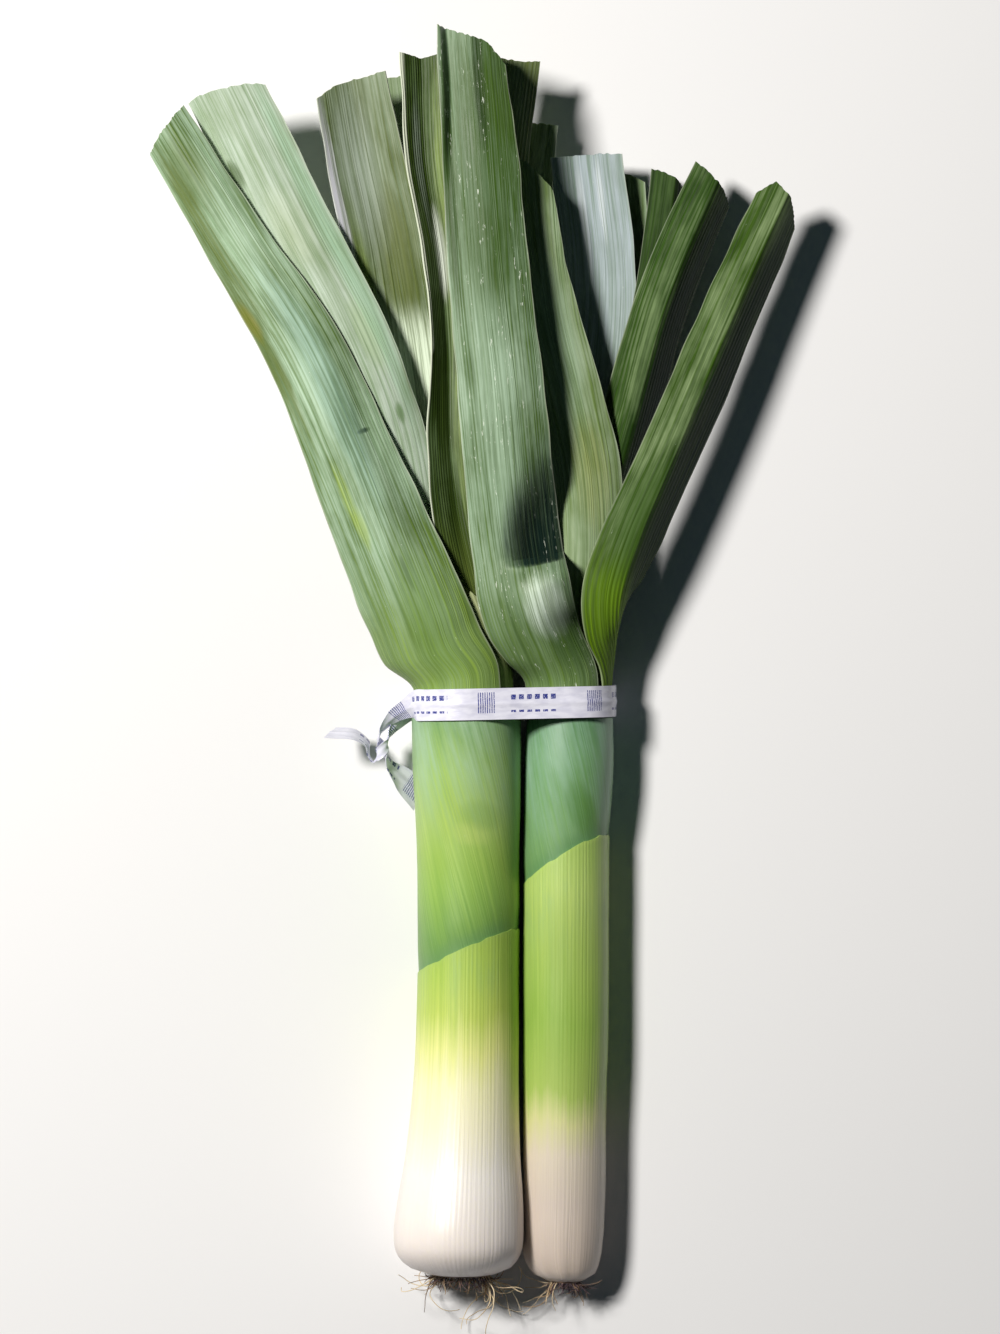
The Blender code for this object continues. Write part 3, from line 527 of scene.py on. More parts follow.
BLADES = {
    "left_front_blade": leaf("left", 0, 112, 46, [
        (-28.9, 5, 45.2, 48.5, 92, -20, 5), (-33.1, 17, 48.6, 46.6, 72, -14.5, 8),
        (-44.9, 47, 52.4, 42, 54, -10, 10), (-60.8, 87.5, 54.5, 36.2, 45, -6, 10),
        (-78.4, 126, 53.5, 33, 45, -7, 12), (-104, 166, 51.5, 27.6, 50, -10, 15),
        (-132.5, 212, 48, 24, 55, -14, 20),
    ], (-4.5, -2, 0, 2.5, 4.5)),
    "left_second_blade": leaf("left", 1, 140, 32, [
        (-31.2, 8, 32, 29, 82, -60, 8), (-33, 22, 34.5, 34, 70, -32, 8),
        (-38, 52, 38.2, 33, 50, -12, 8), (-47, 97, 43.4, 32, 40, -2, 8),
        (-61.5, 134, 47, 32, 35, -4, 8), (-80.5, 170, 46.5, 33, 30, -6, 8),
        (-109, 228, 43.5, 31.5, 30, -8, 6),
    ], (2.5, 2.5, 0.5, -1.5, -5)),
    "left_broad_blade": leaf("left", 2, 200, 28, [
        (-26, 8, 18, 28, 85, -122, 5), (-25.5, 22, 17.8, 28, 60, -145, 5),
        (-30, 59, 21.5, 29, 35, -170, 5), (-36, 99, 27, 31, 30, -178, 5),
        (-41, 135, 32, 32, 30, -178, 5), (-46.8, 170, 35.5, 32, 35, -178, 8),
        (-53.4, 200, 36.5, 32, 45, -178, 12), (-59.1, 231.6, 37, 31, 52, -178, 15),
    ], (2, 1.5, 1, -0.5, -4.5)),
    "left_floor_blade": leaf("left", 0, 255, 26, [
        (-19, 12, 3.2, 26, 50, -172, 4), (-23, 60, 4.5, 26, 28, -180, 4), (-26, 99, 6, 26, 25, -180, 4),
        (-31, 147, 9, 25, 25, -180, 4), (-37, 201, 12, 24, 25, -180, 5),
        (-41.5, 237, 14, 22, 25, -180, 5),
    ], (-2, 0, 0, 0, 1)),
    "left_folded_blade": leaf("left", 2, 46, 24, [
        (-3.5, 7, 34.8, 24.5, 75, 44, 5), (-8, 22, 37.4, 25, 50, 38, -5),
        (-12.2, 38, 37.2, 25, 32, 31, -28), (-17.3, 62, 36.6, 24.5, 20, 23, -50),
        (-20, 87, 36.5, 24, 12, 16, -64), (-21, 130, 36.5, 23, 10, 24, -78),
        (-24, 164, 37, 23, 10, 20, -80), (-29, 198, 38, 23, 10, 12, -80),
        (-31, 242, 39, 22, 10, 8, -74),
    ], (1, 0, -1, 0, 2)),
    "left_torn_blade": leaf("left", 1, 30, 15, [
        (0.5, 5, 33.5, 13, 47, 54, 5), (-5, 17, 38.3, 10.5, 35, 36, 5), (-10, 30, 41.8, 7, 25, 22, 5),
    ], (-2, 1, -3, 2, -4)),
    "left_inner_blade": leaf("left", 3, -10, 20, [
        (-2.5, 6, 21.5, 18, 76, 66, 5), (-4.5, 22, 21, 18, 65, 24, 8), (-2, 60, 19, 21, 40, 12, 10),
        (-3, 100, 20, 22, 35, 8, 10), (-3, 147, 25, 22, 30, 6, 10), (1, 200, 31, 21, 30, 5, 12),
        (6, 241, 35, 20, 30, 5, 12),
    ], (-1, 0, 0, 0, 1)),
    "left_back_blade": leaf("left", 1, 320, 24, [
        (-3, 20, 9, 24, 50, -200, 5), (-4, 60, 9, 25, 35, -185, 5), (-1, 100, 10, 26, 30, -180, 5),
        (4, 147, 13, 26, 28, -180, 6), (9, 190, 17, 24, 28, -180, 6),
        (12.5, 218, 19.5, 22, 28, -180, 6),
    ], (0, 0, 0, -1, -1)),
    "right_front_blade": leaf("right", 0, 104, 35, [
        (18.4, 6, 42, 36.5, 88, 1, 8), (13.6, 17, 46.2, 39, 68, 4, 8), (10.3, 28, 49, 39.5, 60, 3, 8),
        (6.9, 46, 51, 38, 52, 0, 8), (3.4, 76, 54, 36, 40, 0, 8), (0.4, 110, 57, 34.5, 32, 0, 8),
        (-3.6, 147, 59.5, 32.5, 30, 0, 8), (-7, 191, 61.5, 31, 32, 0, 10),
        (-11.6, 248, 61, 26.5, 40, 0, 12),
    ], (4, 1.5, -1, -4, -13)),
    "right_side_blade": leaf("right", 0, -12, 29, [
        (45.4, 6, 22, 28, 80, 88, 10), (46.2, 16, 30.5, 31, 60, 58, 25), (47.6, 28, 36, 32, 44, 38, 38),
        (55, 51, 41.5, 31, 28, 22, 56), (68.4, 82, 43, 30, 18, 15, 64),
        (81.8, 114, 42.5, 29.5, 15, 12, 66), (93.2, 141, 41, 29, 15, 12, 68),
        (112.5, 184, 38, 26, 15, 12, 75),
    ], (0, 7, 4, 0, -5)),
    "right_middle_blade": leaf("right", 1, 75, 28, [
        (30, 8, 32.8, 27, 100, 18, 8), (31.5, 27, 31.5, 31, 70, 14, 8), (32.5, 50, 31.5, 36, 45, 10, 8),
        (31, 75, 33, 37, 32, 8, 8), (24.5, 107, 36, 33, 28, 5, 8), (17, 138, 39, 30, 28, 4, 8),
        (13.5, 162, 41, 25, 30, 3, 8), (10.5, 198, 43, 20, 30, 2, 8),
    ], (4, 3, 2, -4, -10)),
    "right_ridged_blade": leaf("right", 2, 42, 24, [
        (34.6, 8, 26, 22, 100, 48, 10), (38, 27, 25.5, 25, 50, 38, 30), (41, 45, 25, 26, 30, 28, 45),
        (47, 75, 25, 28, 20, 20, 60), (54, 101, 27, 28, 15, 15, 65), (67, 147, 29, 28, 15, 12, 70),
        (77, 172, 30, 27, 15, 12, 70), (86.5, 193, 30, 25.5, 15, 12, 70),
    ], (4.5, 3, 0.5, -2, -5)),
    "right_low_ridged_blade": leaf("right", 3, 35, 18, [
        (32.8, 8, 24.2, 17, 95, 48, 8), (36.5, 27, 21.2, 18, 55, 40, 18),
        (41, 45, 19.5, 18, 30, 30, 28), (46, 75, 20.5, 17, 20, 20, 35),
        (52.5, 105, 22.5, 18, 15, 15, 40), (62.5, 147, 22.3, 18, 15, 12, 50),
        (67, 172, 20, 20, 15, 12, 60), (70, 195, 19, 21, 15, 12, 65),
    ], (4, 3, 1, -2, -6)),
    "right_pale_blade": leaf("right", 2, 250, 24, [
        (25, 12, 11, 22, 70, -168, 4), (26.5, 30, 12, 20, 50, -176, 4), (28, 50, 12.5, 21, 30, -178, 4),
        (31, 85, 13, 23, 25, -180, 4), (36, 110, 14, 26, 20, -180, 4), (39.6, 150, 16, 30, 18, -180, 4),
        (34.4, 205, 20.5, 28.5, 20, -180, 4),
    ], (-1, -0.3, 0, 0, 0.5)),
    "right_hidden_blade": leaf("right", 1, 200, 20, [
        (13.2, 8, 13.5, 20, 72, -122, 4), (17, 28, 9, 20, 45, -150, 4),
        (20.5, 50, 7.2, 21, 30, -172, 4), (23, 100, 6.5, 21, 25, -180, 4),
        (24.5, 150, 7, 20, 22, -180, 4), (24.5, 202, 8.5, 19, 22, -180, 4),
    ], (-1, 0, 0.5, 0, -1)),
    "right_floor_blade": leaf("right", 0, 254, 22, [
        (25, 12, 3.0, 23, 45, -168, 3), (38, 50, 2.2, 24, 20, -180, 3), (44, 85, 2.4, 25, 18, -180, 3),
        (47, 120, 3.4, 25, 18, -180, 3), (48, 150, 6, 25, 18, -180, 3),
        (46.5, 197, 10, 24, 20, -180, 3),
    ], (-2, 1, 2, 1, 0)),
}
print(len(BLADES), "blades")

# %% [markdown]
# ## The leaf blades: how each one looks
#
# Leaves of one leek differ. The outer ones are thick with bloom, the inner ones greener, and
# those that show their underside have strong ribs. A look holds a leaf's colours as they
# appear on a screen, how strong its wax, ribs and scratches are, how rough and how pale at
# the margin it is, and for some how much it shines.
# Bends are dents and swellings of one leaf: how far along, where across, how far they reach
# towards the neck and towards the tip, how broad and how high. Marks are places of another
# colour, in millimetres along and across: stains, rubbed places, places that are just lighter
# or darker and, on four leaves of the right leek, painted shade and a painted highlight. That
# is the painted shade of the dark patch above the kink, the painted highlight below it, and
# the painted shade of the dark right flanks of three creased leaves. The lamp alone leaves
# these places too even. Painted shade and highlight stay the same under any other light,
# which is their price. A mark reaches as far towards the neck as towards the tip, unless
# before says otherwise.

# %% Looks of the leaves
LOOK_FIELDS = "green wax young waxiness rubbing spacing relief contrast scratched gloss rim shine"
Look = namedtuple("Look", LOOK_FIELDS, defaults=[0.28])
Bend = namedtuple("Bend", "along across before after broad height")
Mark = namedtuple("Mark", "along across long broad colour strength before", defaults=[None])

LOOKS = {
    "left_front_blade": Look(
        (84, 110, 52), (168, 194, 166), (124, 154, 62), 0.68, 0.50, 1.5, 0.035, 0.70, 0.30, 0.44, 0.5
    ),
    "left_second_blade": Look(
        (108, 132, 84), (174, 190, 172), (120, 148, 78), 0.84, 0.18, 1.6, 0.030, 0.28, 0.30, 0.46, 0.3
    ),
    "left_broad_blade": Look(
        (76, 92, 36), (150, 164, 142), (106, 120, 58), 0.40, 0.34, 1.6, 0.035, 0.44, 0.16, 0.48, 0.3
    ),
    "left_floor_blade": Look(
        (96, 118, 70), (168, 184, 160), (104, 122, 70), 0.45, 0.30, 1.8, 0.05, 0.25, 0.20, 0.50, 0.3
    ),
    "left_folded_blade": Look(
        (54, 74, 24), (112, 134, 92), (124, 142, 70), 0.16, 0.50, 1.25, 0.13, 0.80, 0.10, 0.46, 0.9
    ),
    "left_torn_blade": Look(
        (104, 126, 62), (206, 210, 168), (128, 150, 84), 0.60, 0.30, 1.3, 0.06, 0.40, 0.40, 0.50, 0.8
    ),
    "left_inner_blade": Look(
        (100, 114, 58), (150, 166, 130), (132, 150, 86), 0.34, 0.45, 1.4, 0.07, 0.60, 0.15, 0.48, 0.3
    ),
    "left_back_blade": Look(
        (90, 112, 62), (166, 184, 160), (104, 122, 70), 0.46, 0.40, 1.6, 0.06, 0.40, 0.15, 0.50, 0.3
    ),
    "right_front_blade": Look(
        (72, 98, 44), (154, 178, 152), (90, 118, 52), 0.68, 0.58, 1.35, 0.030, 0.72, 0.85, 0.38, 0.4
    ),
    "right_side_blade": Look(
        (48, 76, 12), (138, 158, 114), (100, 134, 18), 0.30, 0.50, 1.7, 0.17, 0.95, 0.06, 0.56, 0.3, 0.10
    ),
    "right_middle_blade": Look(
        (106, 130, 72), (166, 186, 152), (108, 132, 66), 0.54, 0.42, 1.5, 0.035, 0.36, 0.12, 0.42, 0.4
    ),
    "right_ridged_blade": Look(
        (40, 68, 14), (128, 150, 104), (78, 106, 40), 0.24, 0.50, 1.6, 0.17, 0.95, 0.06, 0.56, 0.3, 0.10
    ),
    "right_low_ridged_blade": Look(
        (40, 64, 20), (84, 110, 60), (74, 100, 40), 0.04, 0.50, 1.5, 0.15, 0.85, 0.06, 0.56, 0.3, 0.10
    ),
    "right_pale_blade": Look(
        (120, 138, 128), (164, 178, 182), (108, 126, 104), 0.85, 0.26, 1.7, 0.030, 0.26, 0.40, 0.46, 0.3
    ),
    "right_hidden_blade": Look(
        (96, 118, 74), (160, 180, 160), (104, 122, 70), 0.45, 0.30, 1.8, 0.05, 0.25, 0.15, 0.50, 0.3
    ),
    "right_floor_blade": Look(
        (84, 108, 56), (148, 170, 142), (104, 122, 70), 0.40, 0.30, 1.8, 0.05, 0.25, 0.15, 0.50, 0.3
    ),
}

BENDS = {
    "right_front_blade": [
        Bend(50, 0.75, 14, 9, 0.80, 4.5),
        Bend(67, 0.90, 3, 30, 0.95, -12.8),
        Bend(256, -1.0, 34, 30, 0.24, 6.0),
    ],
    "left_front_blade": [
        Bend(240, -0.6, 14, 14, 0.4, -1.6),
        Bend(112, 1.0, 48, 42, 0.6, -2.8),
    ],
    "left_second_blade": [Bend(128, 0.2, 10, 14, 0.9, 0.9)],
}
# A leaf whose left margin is turned over on the real bunch. Here the pale band that it
# shows is a colour on the surface, not a fold.
TURNED_MARGINS = {"left_folded_blade"}
# How far the right half of a leaf hangs below its midrib, at its margin.
HANGS = {
    "left_front_blade": 0.8,
    "right_side_blade": 8.0,
    "right_ridged_blade": 6.5,
    "right_low_ridged_blade": 5.0,
}

OLIVE = (84, 100, 30)
GOLDEN = (196, 176, 84)
YELLOW_GREEN = (160, 184, 62)
DARK_NICK = (36, 58, 30)
# Painted shade: the dark right flanks of the three creased blades of the right leek.
PAINTED_FLANK_SHADE = (14, 42, 30)
MARKS = {
    "left_front_blade": [
        Mark(178, -13.0, 9, 2.6, GOLDEN, 0.80),
        Mark(170, -13.5, 40, 3.8, OLIVE, 0.85),
        Mark(218, -8.0, 44, 4.4, OLIVE, 0.75),
        Mark(240, -2.0, 14, 9.0, OLIVE, 0.50),
        Mark(97, -7.5, 14, 2.0, YELLOW_GREEN, 0.45),
        Mark(83, -6.0, 8, 2.2, YELLOW_GREEN, 0.40),
        Mark(118.7, 8.6, 1.0, 2.6, DARK_NICK, 0.95),
        Mark(60, 4.0, 8, 0.9, DARK_NICK, 0.55),
        Mark(40, 6.0, 26, 9.0, (104, 138, 70), 0.45),
        Mark(140, 3.0, 50, 6.0, (150, 186, 176), 0.40),
    ],
    "left_second_blade": [
        Mark(121, 8.2, 4, 1.4, (84, 120, 56), 0.80),
        Mark(205, 0.0, 16, 7.0, (176, 188, 152), 0.25),
        Mark(154, 8.0, 14, 4.5, (146, 176, 110), 0.35),
        Mark(232, -11.0, 6, 2.6, (60, 84, 30), 0.80),
        Mark(190, 12.0, 70, 3.6, (150, 190, 156), 0.55),
    ],
    "left_broad_blade": [
        Mark(140, -4.0, 22, 13.0, (208, 222, 198), 1.00),
        Mark(188, -5.0, 26, 8.0, (86, 98, 40), 0.80),
        Mark(172, 10.0, 40, 3.4, (96, 116, 38), 0.75),
        Mark(222, 4.0, 34, 9.0, (146, 158, 146), 0.60),
        Mark(190, 14.5, 60, 2.4, (196, 196, 206), 0.85),
    ],
    "left_folded_blade": [
        Mark(186, 0.0, 16, 3.4, (206, 212, 202), 0.85),
        Mark(222, -4.5, 26, 2.2, (142, 154, 142), 0.60),
        Mark(160, 7.5, 100, 5.0, (140, 160, 88), 0.55),
    ],
    "right_front_blade": [
        Mark(226, 3.0, 66, 18.0, (60, 88, 30), 0.95),
        Mark(215, -13.0, 50, 2.6, (46, 70, 20), 0.80),
        Mark(256, 2.0, 26, 2.2, (30, 50, 20), 0.85),
        Mark(256, 10.0, 22, 8.0, (66, 92, 30), 0.60),
        Mark(120, -3.0, 50, 9.0, (156, 182, 156), 0.45),
        # Painted shade: the two dark patches above the kink, sharp-edged towards the neck.
        Mark(65, 7.0, 26, 11.0, (24, 44, 38), 1.00, 2.0),
        Mark(65, 15.0, 42, 10.0, (20, 40, 34), 1.00, 2.0),
        # Painted highlight: the light place below the kink.
        Mark(45, 7.0, 13, 8.0, (204, 220, 204), 0.90),
        Mark(30, 10.0, 14, 8.0, (46, 76, 28), 0.60),
    ],
    "right_side_blade": [
        Mark(44, -2.0, 24, 10.0, (98, 132, 26), 0.90),
        Mark(84, 0.0, 26, 12.0, (54, 82, 26), 0.85),
        Mark(130, 10.0, 120, 8.5, PAINTED_FLANK_SHADE, 0.95),
    ],
    "right_ridged_blade": [Mark(130, 9.5, 120, 8.0, PAINTED_FLANK_SHADE, 0.95)],
    "right_low_ridged_blade": [Mark(130, 6.5, 120, 5.5, PAINTED_FLANK_SHADE, 0.95)],
    "right_middle_blade": [
        Mark(96, 6.0, 20, 7.0, (150, 160, 96), 0.50),
        Mark(150, 3.0, 30, 8.0, (140, 168, 146), 0.40),
    ],
    "right_pale_blade": [
        Mark(196, 4.0, 26, 1.6, (208, 216, 220), 0.60),
        Mark(208, -4.0, 16, 1.2, (208, 216, 220), 0.60),
    ],
}

# %% [markdown]
# ## Cross-section of a blade
#
# Across a leaf the surface turns by the cup angle, and at the midrib it turns sharply by
# the keel angle. Adding up those turns gives the curve, which is how a strip of paper that
# is creased down its middle behaves: its width along the surface stays the same.

# %% Blade surfaces
MID_THICK = 1.3
EDGE_THICK = 0.6
FOLD_SHARPNESS = 0.1
TIP_SHARE = 0.3
SECTION_STEPS = 160
POINTS_A_RIB = 4.5
ROW_EVERY = 2.0
# Rows to each side over which a blade's direction is evened out, so that its cross-sections
# don't run into each other where it bends out of the neck.
STEADY_ROWS = 7
SWELL_ACROSS = 16.0
SWELL_ALONG = 38.0
SWELL = 0.5
MARGIN_WAVE = 0.35
RAGGED = 0.35
RAG_LENGTH = 3.0
# Swellings and the wavy margin begin so far above the neck, and grow over such a length.
GROWN_FROM = 20.0
GROWN_OVER = 40.0
RIB_PATCH_ACROSS = 4.0
RIB_PATCH_ALONG = 60.0
RIB_LEAST = 0.65
RIB_VARIES = 0.35
NECK_RIBS = 0.2
NECK_RIBS_TO = 20.0
WAVE_LENGTH = 13.0
WAVE_SHARPNESS = 6
HANG_OVER = 60.0
HANG_LATE = 0.4


def neck_station(leek, blade, y):
    """Where a blade stands in the neck: on its ring round the leek's axis, curled to fit it."""
    radius = leek.outer_ring - RING_GAP * blade.ring
    angle = math.radians(blade.clock)
    x = leek.x + radius * math.cos(angle)
    z = leek.z + radius * math.sin(angle)
    return Station(x, y, z, blade.width, math.degrees(blade.width / radius), 90 - blade.clock, 0)


def blade_section(width, cup, keel, across):
    """The curve across a blade: sideways and outward offsets, and the angle of its surface."""
    fine = np.linspace(-1, 1, SECTION_STEPS + 1)
    angle = np.radians(cup) / 2 * fine + np.radians(keel) / 2 * np.tanh(fine / FOLD_SHARPNESS)
    step = (fine[1] - fine[0]) * width / 2
    side = np.concatenate([[0], np.cumsum((np.cos(angle[1:]) + np.cos(angle[:-1])) / 2 * step)])
    out = -np.concatenate([[0], np.cumsum((np.sin(angle[1:]) + np.sin(angle[:-1])) / 2 * step)])
    middle = len(fine) // 2
    return (
        np.interp(across, fine, side - side[middle]),
        np.interp(across, fine, out - out[middle]),
        np.interp(across, fine, angle),
    )


def blade_relief(name, across, width, along, seed):
    """How far the surface stands out at each point: ribs and soft swellings."""
    look = LOOKS[name]
    millimetres = across * width / 2
    grown = np.clip((along - GROWN_FROM) / GROWN_OVER, 0, 1)
    patches = hills(millimetres / RIB_PATCH_ACROSS, along / RIB_PATCH_ALONG, seed)
    strength = RIB_LEAST + RIB_VARIES * patches
    relief = look.relief * np.cos(2 * math.pi * millimetres / look.spacing) * strength
    relief = relief * np.clip(along / NECK_RIBS_TO, NECK_RIBS, 1)
    return relief + SWELL * grown * hills(millimetres / SWELL_ACROSS, along / SWELL_ALONG, seed + 1)


def blade_bends(name, across, along):
    """How far the leaf is bent up or down at each point."""
    rise = -HANGS.get(name, 0.0) * np.clip(across, 0, 1) * np.clip(along / HANG_OVER - HANG_LATE, 0, 1)
    for bend in BENDS.get(name, []):
        reach = bend.before if along < bend.along else bend.after
        away = ((along - bend.along) / reach) ** 2 + ((across - bend.across) / bend.broad) ** 2
        rise = rise + bend.height * np.exp(-(away**2))
    return rise


def blade_grids(name, blade, seed):
    """Outer and inner face as grids of points, with place and margin for each."""
    leek = LEEKS[blade.leek]
    look = LOOKS[name]
    widest = max(station.width for station in blade.stations)
    across = np.linspace(-1, 1, 2 * round(widest / look.spacing * POINTS_A_RIB / 2) + 1)
    rows = [neck_station(leek, blade, y) for y in (NECK_START, NECK_END)]
    line = spline(rows + blade.stations, ROW_EVERY, straight_start=True)
    spine = line[:, :3]
    along = unit(smoothed(tangents(spine), STEADY_ROWS))
    lean = np.radians(line[:, 5])
    normal = np.stack([np.sin(lean), np.zeros(len(lean)), np.cos(lean)], axis=1)
    normal = unit(normal - (normal * along).sum(1, keepdims=True) * along)
    sideways = np.cross(along, normal)
    length = distances(spine)
    ramp = np.clip((length / length[-1] - 1 + TIP_SHARE) / TIP_SHARE, 0, 1) ** 2
    tip = np.interp(across, np.linspace(-1, 1, 5), blade.tip)
    tip = tip + RAGGED * hills(across * widest / RAG_LENGTH, 0.0, seed + 2)
    thick = EDGE_THICK + (MID_THICK - EDGE_THICK) * (1 - across**2)
    outer, inner, place = [], [], []
    for i, row in enumerate(line):
        side, out_by, angle = blade_section(row[3], row[4], row[6], across)
        middle = spine[i] + np.outer(side, sideways[i]) + np.outer(out_by, normal[i])
        middle += np.outer(tip * ramp[i], along[i])
        facing = np.outer(np.sin(angle), sideways[i]) + np.outer(np.cos(angle), normal[i])
        relief = blade_relief(name, across, row[3], length[i], seed)
        grown = np.clip((length[i] - GROWN_FROM) / GROWN_OVER, 0, 1)
        edge = MARGIN_WAVE * grown * np.abs(across) ** WAVE_SHARPNESS * np.sign(across)
        wander = hills(length[i] / WAVE_LENGTH, across, seed + 3)
        middle += np.outer(edge * wander, sideways[i])
        middle[:, 2] += blade_bends(name, across, length[i])
        outer.append(middle + facing * (thick / 2 + relief)[:, None])
        inner.append(middle - facing * (thick / 2 - relief)[:, None])
        place.append(np.stack([across * row[3] / 2, 0 * across + length[i], 0 * across + seed], 1))
    return np.array(outer), np.array(inner), np.array(place), across


def make_blade(name, blade, seed, finish):
    outer, inner, place, across = blade_grids(name, blade, seed)
    rows, columns = outer.shape[:2]
    count = rows * columns
    points = np.concatenate([outer.reshape(-1, 3), inner.reshape(-1, 3)])
    faces = [grid_faces(rows, columns), grid_faces(rows, columns, first=count, flip=True)]
    i = np.arange(rows - 1) * columns
    for edge, flip in ((0, False), (columns - 1, True)):
        a, b = i + edge, i + edge + columns
        strip = np.stack([a, b, b + count, a + count], 1)
        faces.append(strip[:, ::-1] if flip else strip)
    j = np.arange(columns - 1)
    for end, flip in ((0, True), ((rows - 1) * columns, False)):
        a, b = j + end, j + end + 1
        strip = np.stack([a, b, b + count, a + count], 1)
        faces.append(strip[:, ::-1] if flip else strip)
    cut = range(sum(len(f) for f in faces[:-1]), sum(len(f) for f in faces))
    faces = np.concatenate(faces)
    margin = np.tile(np.tile(across, rows), 2)
    inside = np.repeat([0.0, 1.0], count)
    attributes = {"place": np.tile(place.reshape(-1, 3), (2, 1)), "margin": margin, "inside": inside}
    return make_piece(f"{name}_fine", points, faces, finish, [name], attributes, cut)


# %% [markdown]
# ## The leaf finish
#
# From below upwards: green flesh, lighter along the ribs and yellower towards the neck; the
# bloom, which greys and blues it; then pale scratches. The margin is a thin pale line, and
# the cut at the tip shows the paler inside of the leaf. Where the wax lies the surface is a
# little rougher, and the veins are also fed to a bump.

# %% Leaf finish
YOUNG_FROM = 14.0
YOUNG_TO = 92.0
MARGIN_FROM = 0.955
WIDE_MARGIN_FROM = 0.80
WIDE_MARGIN_TO = 0.90
TURNED_FROM = 128.0
TURNED_TO = 150.0
SCRATCH_WHITE = from_screen(228, 236, 222)
MARGIN_PALE = from_screen(208, 214, 194)
CUT_PALE = from_screen(150, 158, 112)
VEIN_DEPTH = 0.13
FRAYED_BY = 1.9
MARK_REACH = 1.8
MARK_IN_GAPS = 0.6
MARK_ON_THREADS = 0.5
EVENNESS = 0.15
YOUNG_UNWAXED = 0.75
FLECK_STRENGTH = 0.85
WAX_ROUGHER = 0.12
# Factors between the veins and on them, for the wax and for the marks.
WAX_DARKER = (0.64, 0.72, 0.58, 1)
WAX_LIGHTER = (1.10, 1.08, 1.10, 1)
MARK_DARKER = (0.78, 0.80, 0.74, 1)
MARK_LIGHTER = (1.1, 1.1, 1.1, 1)
CUT_DARK = from_screen(96, 98, 58)
CUT_ROUGHNESS = 0.6
LESS = (0.42, 0.48, 0.36, 1.0)
MORE = (1.42, 1.36, 1.26, 1.0)


def tinted(tree, colour, factors):
    """The colour, darker or lighter by a factor for each of its three parts."""
    return mix(tree, 1.0, colour, factors, "MULTIPLY")


def mark_mask(tree, place, threads, mark):
    """A soft oval at a place on the leaf, frayed along the veins and thinned between them."""
    across, along, _ = split(tree, place)
    aside = maths(tree, "DIVIDE", maths(tree, "SUBTRACT", across, mark.across), mark.broad)
    beyond = maths(tree, "SUBTRACT", along, mark.along)
    away = maths(tree, "DIVIDE", beyond, mark.long)
    if mark.before:
        away = maths(tree, "MAXIMUM", away, maths(tree, "DIVIDE", beyond, -mark.before))
    frayed = noise(tree, place, 0.9, 0.05, detail=3.0, rough=0.7)
    aside_squared = maths(tree, "MULTIPLY", aside, aside)
    away_squared = maths(tree, "MULTIPLY", away, away)
    distance = maths(tree, "ADD", aside_squared, away_squared)
    distance = maths(tree, "MULTIPLY_ADD", maths(tree, "SUBTRACT", frayed, 0.5), FRAYED_BY, distance)
    on_threads, in_gaps = MARK_ON_THREADS * mark.strength, MARK_IN_GAPS * mark.strength
    thinned = maths(tree, "MULTIPLY_ADD", threads, on_threads, in_gaps)
    return maths(tree, "MULTIPLY", between(tree, distance, MARK_REACH, 0.0), thinned, clamp=True)


def leaf_finish(name, look, marks, turned):
    material, tree, shader = new_finish(name)
    place = attribute(tree, "place").outputs["Vector"]
    along = split(tree, place)[1]
    vein = place_group(tree, veins, Place=place, Rib_Spacing=look.spacing, Evenness=EVENNESS)
    wax = place_group(
        tree, bloom, Place=place, Amount=look.waxiness, Rubbing=look.rubbing, Ribs=vein["Ribs"]
    )
    flecks = place_group(tree, scratches, Place=place, Amount=look.scratched)
    youth = between(tree, along, YOUNG_FROM, YOUNG_TO, 1.0, 0.0)
    flesh = mix(tree, youth, from_screen(*look.green), from_screen(*look.young))
    ribbed = mix(tree, vein["Ribs"], tinted(tree, flesh, LESS), tinted(tree, flesh, MORE))
    threaded = mix(tree, vein["Threads"], tinted(tree, flesh, LESS), tinted(tree, flesh, MORE))
    flesh = mix(tree, look.contrast, flesh, mix(tree, 0.5, ribbed, threaded))
    grain = mix(tree, vein["Threads"], WAX_DARKER, WAX_LIGHTER)
    waxed = tinted(tree, grain, from_screen(*look.wax))
    covered = maths(tree, "MULTIPLY_ADD", youth, -YOUNG_UNWAXED, 1.0)
    skin = mix(tree, maths(tree, "MULTIPLY", wax["Wax"], covered), flesh, waxed)
    for mark in marks:
        tone = mix(tree, vein["Threads"], MARK_DARKER, MARK_LIGHTER)
        tone = tinted(tree, tone, from_screen(*mark.colour))
        skin = mix(tree, mark_mask(tree, place, vein["Threads"], mark), skin, tone)
    skin = mix(tree, maths(tree, "MULTIPLY", flecks["Mask"], FLECK_STRENGTH), skin, SCRATCH_WHITE)
    side = attribute(tree, "margin").outputs["Fac"]
    edge = between(tree, maths(tree, "ABSOLUTE", side), MARGIN_FROM, 1.0)
    edge = maths(tree, "MULTIPLY", edge, look.rim)
    if turned:
        folded_over = maths(tree, "MULTIPLY", side, between(tree, along, TURNED_FROM, TURNED_TO, 0.0, -1.0))
        edge = maths(tree, "MAXIMUM", edge, between(tree, folded_over, WIDE_MARGIN_FROM, WIDE_MARGIN_TO))
    skin = mix(tree, edge, skin, MARGIN_PALE)
    feed(tree, shader.inputs["Base Color"], skin)
    feed(tree, shader.inputs["Roughness"], maths(tree, "MULTIPLY_ADD", wax["Wax"], WAX_ROUGHER, look.gloss))
    shader.inputs["Specular IOR Level"].default_value = look.shine
    bump(tree, shader, vein["Height"], VEIN_DEPTH)
    return material


def cut_finish():
    material, tree, shader = new_finish("cut end of a leaf")
    place = attribute(tree, "place").outputs["Vector"]
    specks = between(tree, noise(tree, place, 1.8, 1.8), 0.4, 0.7)
    feed(tree, shader.inputs["Base Color"], mix(tree, specks, CUT_PALE, CUT_DARK))
    feed(tree, shader.inputs["Roughness"], CUT_ROUGHNESS)
    return material


